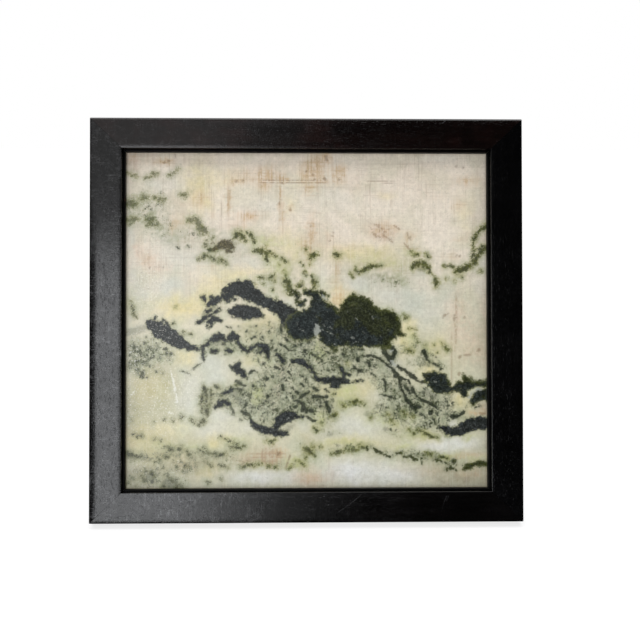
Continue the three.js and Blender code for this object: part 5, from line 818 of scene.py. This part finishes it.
# ---------------------------------------------------------------- wood
def scratch(n, vec, x0, z0, x1, z1, width):
    """1 along a straight scratch, its ends given in mm of the panel's face."""
    m = n.t.nodes.new("ShaderNodeMapping")
    m.vector_type = "TEXTURE"
    m.inputs["Location"].default_value = ((x0 + x1) / 2000, 0, (z0 + z1) / 2000 + STONE_Z)
    m.inputs["Rotation"].default_value = (0, -math.atan2(z1 - z0, x1 - x0), 0)
    m.inputs["Scale"].default_value = (math.hypot(x1 - x0, z1 - z0) / 2000, 1, width / 1000)
    n.link(vec, m.inputs[0])
    sep = n.t.nodes.new("ShaderNodeSeparateXYZ")
    n.link(m.outputs[0], sep.inputs[0])
    across, length = (n.math("ABSOLUTE", sep.outputs[a]) for a in "ZX")
    return n.math("MULTIPLY", n.ramp(across, 1.0, 0.2), n.ramp(length, 1.0, 0.8))


def wood_material(name, along, dark, light, rough=(0.12, 0.17), tint=None, bump=0.5, scale=1.0, shine=0.35, marks=(), dust_and_sheen=(0, 1, 0.0), raw=False):
    """Straight-grained wood. along is the grain's axis in the row frame, X or Z.
    marks are scratches: (x0, z0, x1, z1, width, colour, strength).
    dust (a grey film of dust and painted sheen) grows from nothing at the first x (metres) to its strength at the
    second.
    raw leaves the back face and the frame's outer sides unpolished."""
    n = Nodes(name)
    mul, add = (lambda a, b, op=op: n.math(op, a, b) for op in ("MULTIPLY", "ADD"))
    vec = n.coords("Object", rot=(LEAN, 0, 0))

    def lengthwise(across, length, detail, rough_, dist=0.0, at=(0, 0, 0)):
        m = n.t.nodes.new("ShaderNodeMapping")
        s = [across * scale] * 3
        s["XYZ".index(along)] = length * scale
        m.inputs["Scale"].default_value = s
        m.inputs["Location"].default_value = at
        n.link(vec, m.inputs[0])
        return n.noise(m.outputs[0], 1.0, detail, rough_, dist)

    grain = lengthwise(430, 34, 4, 0.6, 0.4)
    bands = lengthwise(60, 5, 3, 0.5, 0.6)
    streak = lengthwise(190, 22, 3, 0.6, 0.0, (3, 5, 7))
    pore = lengthwise(1000, 210, 2, 0.5, 0.0, (1, 9, 4))
    grit = n.noise(vec, 640, 3, 0.6)
    wear = n.noise(vec, 70, 4, 0.6)
    pores = n.ramp(pore, 0.60, 0.70)
    col = n.mix(n.ramp(bands, 0.3, 0.72), dark, light)
    col = n.mix(mul(n.ramp(grain, 0.42, 0.62), 0.5), col, tuple(c * 0.5 for c in dark))
    col = n.mix(mul(pores, 0.7), col, tuple(c * 0.3 for c in dark))
    if tint:
        col = n.mix(mul(n.ramp(n.noise(vec, 26, 3, 0.55), 0.42, 0.66), n.ramp(streak, 0.38, 0.62, 0.35, 0.9)), col, tint)
    # a little dust in the grain
    specks = n.ramp(n.noise(vec, 900, 2, 0.6), 0.60, 0.70)
    col = n.mix(mul(specks, 0.5), col, tuple(c + 0.006 for c in light))
    sep = n.t.nodes.new("ShaderNodeSeparateXYZ")
    n.link(vec, sep.inputs[0])
    face = n.ramp(sep.outputs["Y"], FACE_Y + 0.014, FACE_Y + 0.010)
    # dust and painted sheen: a grey film, strongest towards the left where the window's reflection lies
    if dust_and_sheen[2]:
        fine = n.ramp(n.noise(vec, 830, 2, 0.65, 0.0), 0.47, 0.66)
        cloud = mul(n.ramp(n.noise(vec, 190, 3, 0.65), 0.36, 0.66, 0.25, 1.0), n.ramp(n.noise(vec, 62, 3, 0.6), 0.38, 0.62, 0.35, 1.0))
        lint_and_sheen = n.ramp(streak, 0.56, 0.70, 0.0, 0.8)
        # rubbed across the grain, part of the dust and painted sheen
        m = n.t.nodes.new("ShaderNodeMapping")
        m.inputs["Scale"].default_value = (90, 90, 760) if along == "Z" else (760, 90, 90)
        n.link(vec, m.inputs[0])
        rubbed_sheen = n.ramp(n.noise(m.outputs[0], 1.0, 3, 0.6, 0.3), 0.52, 0.66, 0.0, 0.9)
        dust_sheen_film = mul(mul(n.math("MAXIMUM", n.math("MAXIMUM", fine, lint_and_sheen), rubbed_sheen), cloud), mul(n.ramp(sep.outputs["X"], dust_and_sheen[0], dust_and_sheen[1], 0.0, dust_and_sheen[2]), n.ramp(sep.outputs["Z"], STONE_Z + 0.34, STONE_Z + 0.22, 0.5, 1.0)))
        dust_sheen_film = mul(dust_sheen_film, n.ramp(sep.outputs["Y"], FACE_Y + 0.006, FACE_Y + 0.002))
        col = n.mix(dust_sheen_film, col, (0.088, 0.089, 0.092))
    if raw:
        away = n.math("MAXIMUM", n.ramp(sep.outputs["Y"], FACE_Y + 0.0288, FACE_Y + 0.0296), n.ramp(n.math("ABSOLUTE", sep.outputs["X"]), 0.2163, 0.2169))
        bare = mul(away, n.ramp(grain, 0.34, 0.62, 1.0, 0.45))
        col = n.mix(bare, col, n.mix(n.ramp(bands, 0.3, 0.72), (0.012, 0.0066, 0.0046), (0.030, 0.017, 0.0115)))
    scored = None
    for x0, z0, x1, z1, width, colour, strength in marks:
        one = mul(mul(face, scratch(n, vec, x0, z0, x1, z1, width)), n.ramp(grit, 0.30, 0.50, 0.35 * strength, strength))
        col = n.mix(one, col, colour)
        scored = one if scored is None else n.math("MAXIMUM", scored, one)
    n.link(col, n.bsdf.inputs["Base Color"])
    r = add(n.ramp(wear, 0.3, 0.75, rough[0], rough[1]), mul(pores, 0.06))
    r = add(r, add(n.ramp(streak, 0.36, 0.66, -0.012, 0.018), add(n.ramp(grit, 0.38, 0.64, -0.02, 0.035), mul(specks, 0.06))))
    if scored is not None:
        r = add(r, mul(scored, 0.25))
    if raw:
        r = add(r, mul(bare, 0.25))
    n.link(r, n.bsdf.inputs["Roughness"])
    n.bsdf.inputs["Specular IOR Level"].default_value = shine
    n.bump(add(add(mul(grain, 0.30), mul(wear, 0.15)), add(mul(grit, 0.75), add(mul(pores, -0.45), mul(streak, 0.12)))), bump, 0.00014)
    return n.mat


def brass_material():
    n = Nodes("aged_brass")
    vec = n.coords("Object")
    a = n.noise(vec, 120, 5, 0.6)
    b = n.noise(vec, 900, 3, 0.6)
    col = n.mix(n.ramp(a, 0.35, 0.7), (0.55, 0.38, 0.15), (0.30, 0.19, 0.075))
    n.link(col, n.bsdf.inputs["Base Color"])
    n.bsdf.inputs["Metallic"].default_value = 1.0
    n.link(n.ramp(a, 0.3, 0.75, 0.26, 0.5), n.bsdf.inputs["Roughness"])
    n.bump(b, 0.15, 0.0001)
    return n.mat


DARK = (0.0004, 0.0003, 0.0003)
LIGHT = (0.0010, 0.0008, 0.0008)
PALE = (0.03, 0.03, 0.032)
BACK = ((0.010, 0.0058, 0.0042), (0.026, 0.015, 0.0105), (0.22, 0.32), (0.038, 0.017, 0.011), 1.0, 1.0, 0.5)
wood_x = wood_material("hardwood_batten", "X", *BACK)
wood_z = wood_material("hardwood_strut", "Z", *BACK)
# the four members of the frame; the top rail's wood is redder. Their dust film is dust and painted sheen, strongest
# towards the left.
wood_top = wood_material("hardwood_top_rail", "X", (0.0016, 0.0007, 0.0006), (0.0044, 0.0020, 0.0017), tint=(0.0085, 0.0030, 0.0025),
                         dust_and_sheen=(0.21, -0.21, 0.35), raw=True, marks=[(136, 400, 139.4, 403, 0.5, PALE, 0.8), (16, 382.4, 22, 381, 0.4, (0.0002,) * 3, 0.6)])
wood_bottom = wood_material("hardwood_bottom_rail", "X", DARK, LIGHT, tint=(0.0020, 0.0016, 0.0018), dust_and_sheen=(-0.01, -0.10, 1.0), raw=True, marks=[
    (29, 9.6, 42, 18.4, 0.5, PALE, 0.38), (41.6, 18, 50.6, 25.2, 0.45, PALE, 0.5), (50.2, 24.8, 54.4, 28.9, 0.4, PALE, 0.42),
    (134.4, 11.4, 136.6, 20, 0.4, PALE, 0.3), (136.4, 19.6, 139.8, 27, 0.45, PALE, 0.4), (139, 21, 141.6, 27, 0.5, PALE, 0.4),
    (16.2, 26.4, 17.2, 26.8, 0.7, PALE, 1.0), (20.6, 18, 21.4, 18.4, 0.7, PALE, 1.0), (23.4, 26, 25, 25.2, 0.35, PALE, 0.5),
    (-137.4, 27, -129, 18.4, 0.4, (0.0002,) * 3, 0.9), (-131, 24, -128, 20, 0.4, PALE, 0.5), (-166, 12, -160, 10, 0.5, PALE, 0.5)])
wood_left = wood_material("hardwood_left_stile", "Z", DARK, LIGHT, tint=(0.0018, 0.0016, 0.0019), dust_and_sheen=(-0.1, -0.15, 0.85), raw=True, marks=[
    (-208, 52, -195, 34, 0.4, PALE, 0.5), (-203, 196, -199, 192, 0.4, PALE, 0.5)])
# painted shade: the right stile is a darker, bluer copy of the same wood
wood_right = wood_material("hardwood_right_stile", "Z", (0.0003, 0.0003, 0.0004), (0.0007, 0.0007, 0.0009), tint=(0.0012, 0.0011, 0.0014), dust_and_sheen=(0.1, 0.15, 0.03), raw=True)
slip_mat = wood_material("slip_black", "X", (0.0004, 0.0003, 0.0003), (0.0009, 0.0007, 0.0006), (0.4, 0.5), shine=0.08, marks=[
    (-120.4, 370.9, -118.4, 370.5, 0.8, (0.32, 0.31, 0.29), 1.0), (-12.4, 370.6, -6.4, 370.9, 0.7, (0.26, 0.25, 0.22), 1.0),
    (-183.2, 322, -183, 325.6, 1.0, (0.030, 0.014, 0.009), 1.0), (74, 371, 84, 371.4, 0.3, (0.02, 0.018, 0.016), 0.8)])
board_mat = wood_material("back_board_wood", "Z", (0.10, 0.055, 0.028), (0.19, 0.11, 0.058), (0.5, 0.65), scale=0.6)
key_mat = wood_material("key_wood", "X", (0.12, 0.06, 0.03), (0.2, 0.1, 0.05), (0.5, 0.6))
block_mat = wood_material("block_wood", "X", (0.36, 0.24, 0.13), (0.48, 0.34, 0.2), (0.6, 0.7))
brass = brass_material()


def dress(ob, material):
    ob.data.materials.clear()
    ob.data.materials.append(material)


MEMBERS = {"top_rail": wood_top, "bottom_rail": wood_bottom, "left_stile": wood_left, "right_stile": wood_right}
for name, ob in NODES.items():
    if name in MEMBERS:
        dress(ob, MEMBERS[name])
    elif name in ("upper_batten", "lower_batten"):
        dress(ob, wood_x)
    elif name == "strut":
        dress(ob, wood_z)
    elif name.startswith("inner_slip"):
        dress(ob, slip_mat)
    elif name.startswith("corner_key"):
        dress(ob, key_mat)
    elif name.startswith("setting_block"):
        dress(ob, block_mat)
    elif name == "back_board":
        dress(ob, board_mat)
    elif name != "stone_panel":
        dress(ob, brass)
    if name != "stone_panel":
        for p in ob.data.polygons:
            p.use_smooth = True
        mod = ob.modifiers.new("edges", "EDGE_SPLIT")
        mod.split_angle = math.radians(32)
        # flats keep their own normals, and the roundings take the turn
        mod = ob.modifiers.new("flats", "WEIGHTED_NORMAL")
        mod.keep_sharp = True
        mod.weight = 100

stone = make_stone()


def face_fall(a):
    """How far the face of a stile has fallen at a, its distance from the outer edge."""
    for crown, r, tilt, d in ((0.0095, 0.0022, math.radians(8), a), (0.0055, 0.0006, math.radians(7), 0.032 - a)):
        width = crown - r * (1 - math.sin(tilt))
        if d < crown:
            k = min((crown - d) / width, 1)
            edge = max(r * (1 - math.sin(tilt)) - d, 0)
            return math.tan(tilt) * width / 2 * k * k + 1.2 * edge
    return 0.0


def glue_line(name, corner_out, corner_in, shoulder):
    """The dark line of glue that fills a mitre, from the outer to the inner corner."""
    a, b = Vector(corner_out), Vector(corner_in)
    along = (b - a).normalized()
    side = Vector((-along.z, 0, along.x)) * 0.00012
    a = a + along * 0.0016
    b = b - along * 0.0010
    mesh = bpy.data.meshes.new(name)
    n = 24
    verts, faces = [], []
    for i in range(n + 1):
        q = a.lerp(b, i / n)
        y0 = 0.00035 + face_fall(W / 2 - abs(q.x))
        for s, y in ((1, y0), (-1, y0), (-1, shoulder), (1, shoulder)):
            verts.append(list(PANEL @ (q + side * s + Vector((0, y, 0)))))
    for i in range(n):
        for j in range(4):
            k, l = i * 4 + j, i * 4 + (j + 1) % 4
            faces.append([k, l, l + 4, k + 4])
    faces += [[3, 2, 1, 0], [n * 4, n * 4 + 1, n * 4 + 2, n * 4 + 3]]
    mesh.from_pydata(verts, [], faces)
    mesh.update()
    ob = bpy.data.objects.new(name, mesh)
    bpy.context.scene.collection.objects.link(ob)
    mesh.materials.append(slip_mat)
    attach(ob, "frame")
    return ob


for tag, sx, top in (("tl", -1, 1), ("tr", 1, 1), ("bl", -1, 0), ("br", 1, 0)):
    glue_line("glue_line_" + tag, (sx * W / 2, 0, H if top else 0),
              (sx * (W / 2 - 0.032), 0, H - 0.0306 if top else 0.0306), 0.0145)

# ---------------------------------------------------------------- studio
scene = bpy.context.scene


def stage_material(name, color, rough=0.9, glow=0.0):
    n = Nodes(name)
    n.bsdf.inputs["Emission Color"].default_value = (1, 1, 1, 1)
    n.bsdf.inputs["Emission Strength"].default_value = glow
    n.bsdf.inputs["Base Color"].default_value = (*color, 1)
    n.bsdf.inputs["Roughness"].default_value = rough
    n.bsdf.inputs["Specular IOR Level"].default_value = 0.1
    return n.mat


bpy.ops.mesh.primitive_plane_add(size=40, location=(0, 0, -0.0002))
floor = bpy.context.object
floor.name = "floor"
floor.data.materials.append(stage_material("light_table", (0.25, 0.25, 0.25), glow=0.79))
floor.visible_glossy = False  # as if a black card kept it out of the gloss
floor.visible_shadow = False  # the window's low end shines past it

# The room: white paper behind, dim at eye level, brighter overhead.
world = bpy.data.worlds.new("studio")
scene.world = world
world.use_nodes = True
wt = world.node_tree
wt.nodes.clear()
w_out = wt.nodes.new("ShaderNodeOutputWorld")
w_mix = wt.nodes.new("ShaderNodeMixShader")
w_seen = wt.nodes.new("ShaderNodeBackground")
w_room = wt.nodes.new("ShaderNodeBackground")
w_path = wt.nodes.new("ShaderNodeLightPath")
w_dir = wt.nodes.new("ShaderNodeTexCoord")
w_sep = wt.nodes.new("ShaderNodeSeparateXYZ")
w_ramp = wt.nodes.new("ShaderNodeMapRange")
w_ramp.interpolation_type = "SMOOTHSTEP"
for i, v in ((1, 0.68), (2, 0.90), (3, 0.02), (4, 3.4)):
    w_ramp.inputs[i].default_value = v
wt.links.new(w_dir.outputs["Generated"], w_sep.inputs[0])
wt.links.new(w_sep.outputs["Z"], w_ramp.inputs[0])
wt.links.new(w_ramp.outputs[0], w_room.inputs["Strength"])
w_seen.inputs["Strength"].default_value = 1.0
w_seen.inputs["Color"].default_value = (1, 1, 1, 1)
wt.links.new(w_path.outputs["Is Camera Ray"], w_mix.inputs[0])
wt.links.new(w_room.outputs[0], w_mix.inputs[1])
wt.links.new(w_seen.outputs[0], w_mix.inputs[2])
wt.links.new(w_mix.outputs[0], w_out.inputs[0])


def area(name, at, to, size, power, size_y=None):
    d = bpy.data.lights.new(name, "AREA")
    d.energy = power
    d.size = size
    if size_y:
        d.shape = "RECTANGLE"
        d.size_y = size_y
    o = bpy.data.objects.new(name, d)
    scene.collection.objects.link(o)
    o.location = at
    o.rotation_euler = (at - to).to_track_quat("Z", "Y").to_euler()
    return o


centre = panel_point(0, 0, H / 2)
# A window at the left of the camera, its right edge soft: its reflection lights
# the left stile and the left half of the bottom rail.
for k, (right, light) in enumerate(((-0.22, 3.25), (-0.10, 1.26), (0.05, 0.50))):
    wide, high = right + 0.64, 1.02
    lamp = area("window_%d" % k, panel_point(right - wide / 2, -1.3, -0.11), panel_point(-0.10, 0, 0.0), wide, math.pi * light * wide * high, high)
    lamp.data.color = (0.955, 0.975, 1.0)
# A dimmer pane above it, which the top rail's left half picks up.
for k, (right, light) in enumerate(((-0.12, 0.66), (0.06, 0.29))):
    wide, high = right + 0.97, 0.77
    area("upper_pane_%d" % k, panel_point(right - wide / 2, -1.3, 0.785), panel_point(-0.05, 0, 0.25), wide, math.pi * light * wide * high, high)
# The long soft box above the camera, too high for the frame's face to mirror.
area("soft_box", panel_point(0.05, -1.5, 1.85), centre, 1.8, 6.0, 0.45)

scene.view_settings.view_transform = "Standard"
scene.view_settings.look = "None"
scene.view_settings.exposure = 0.0
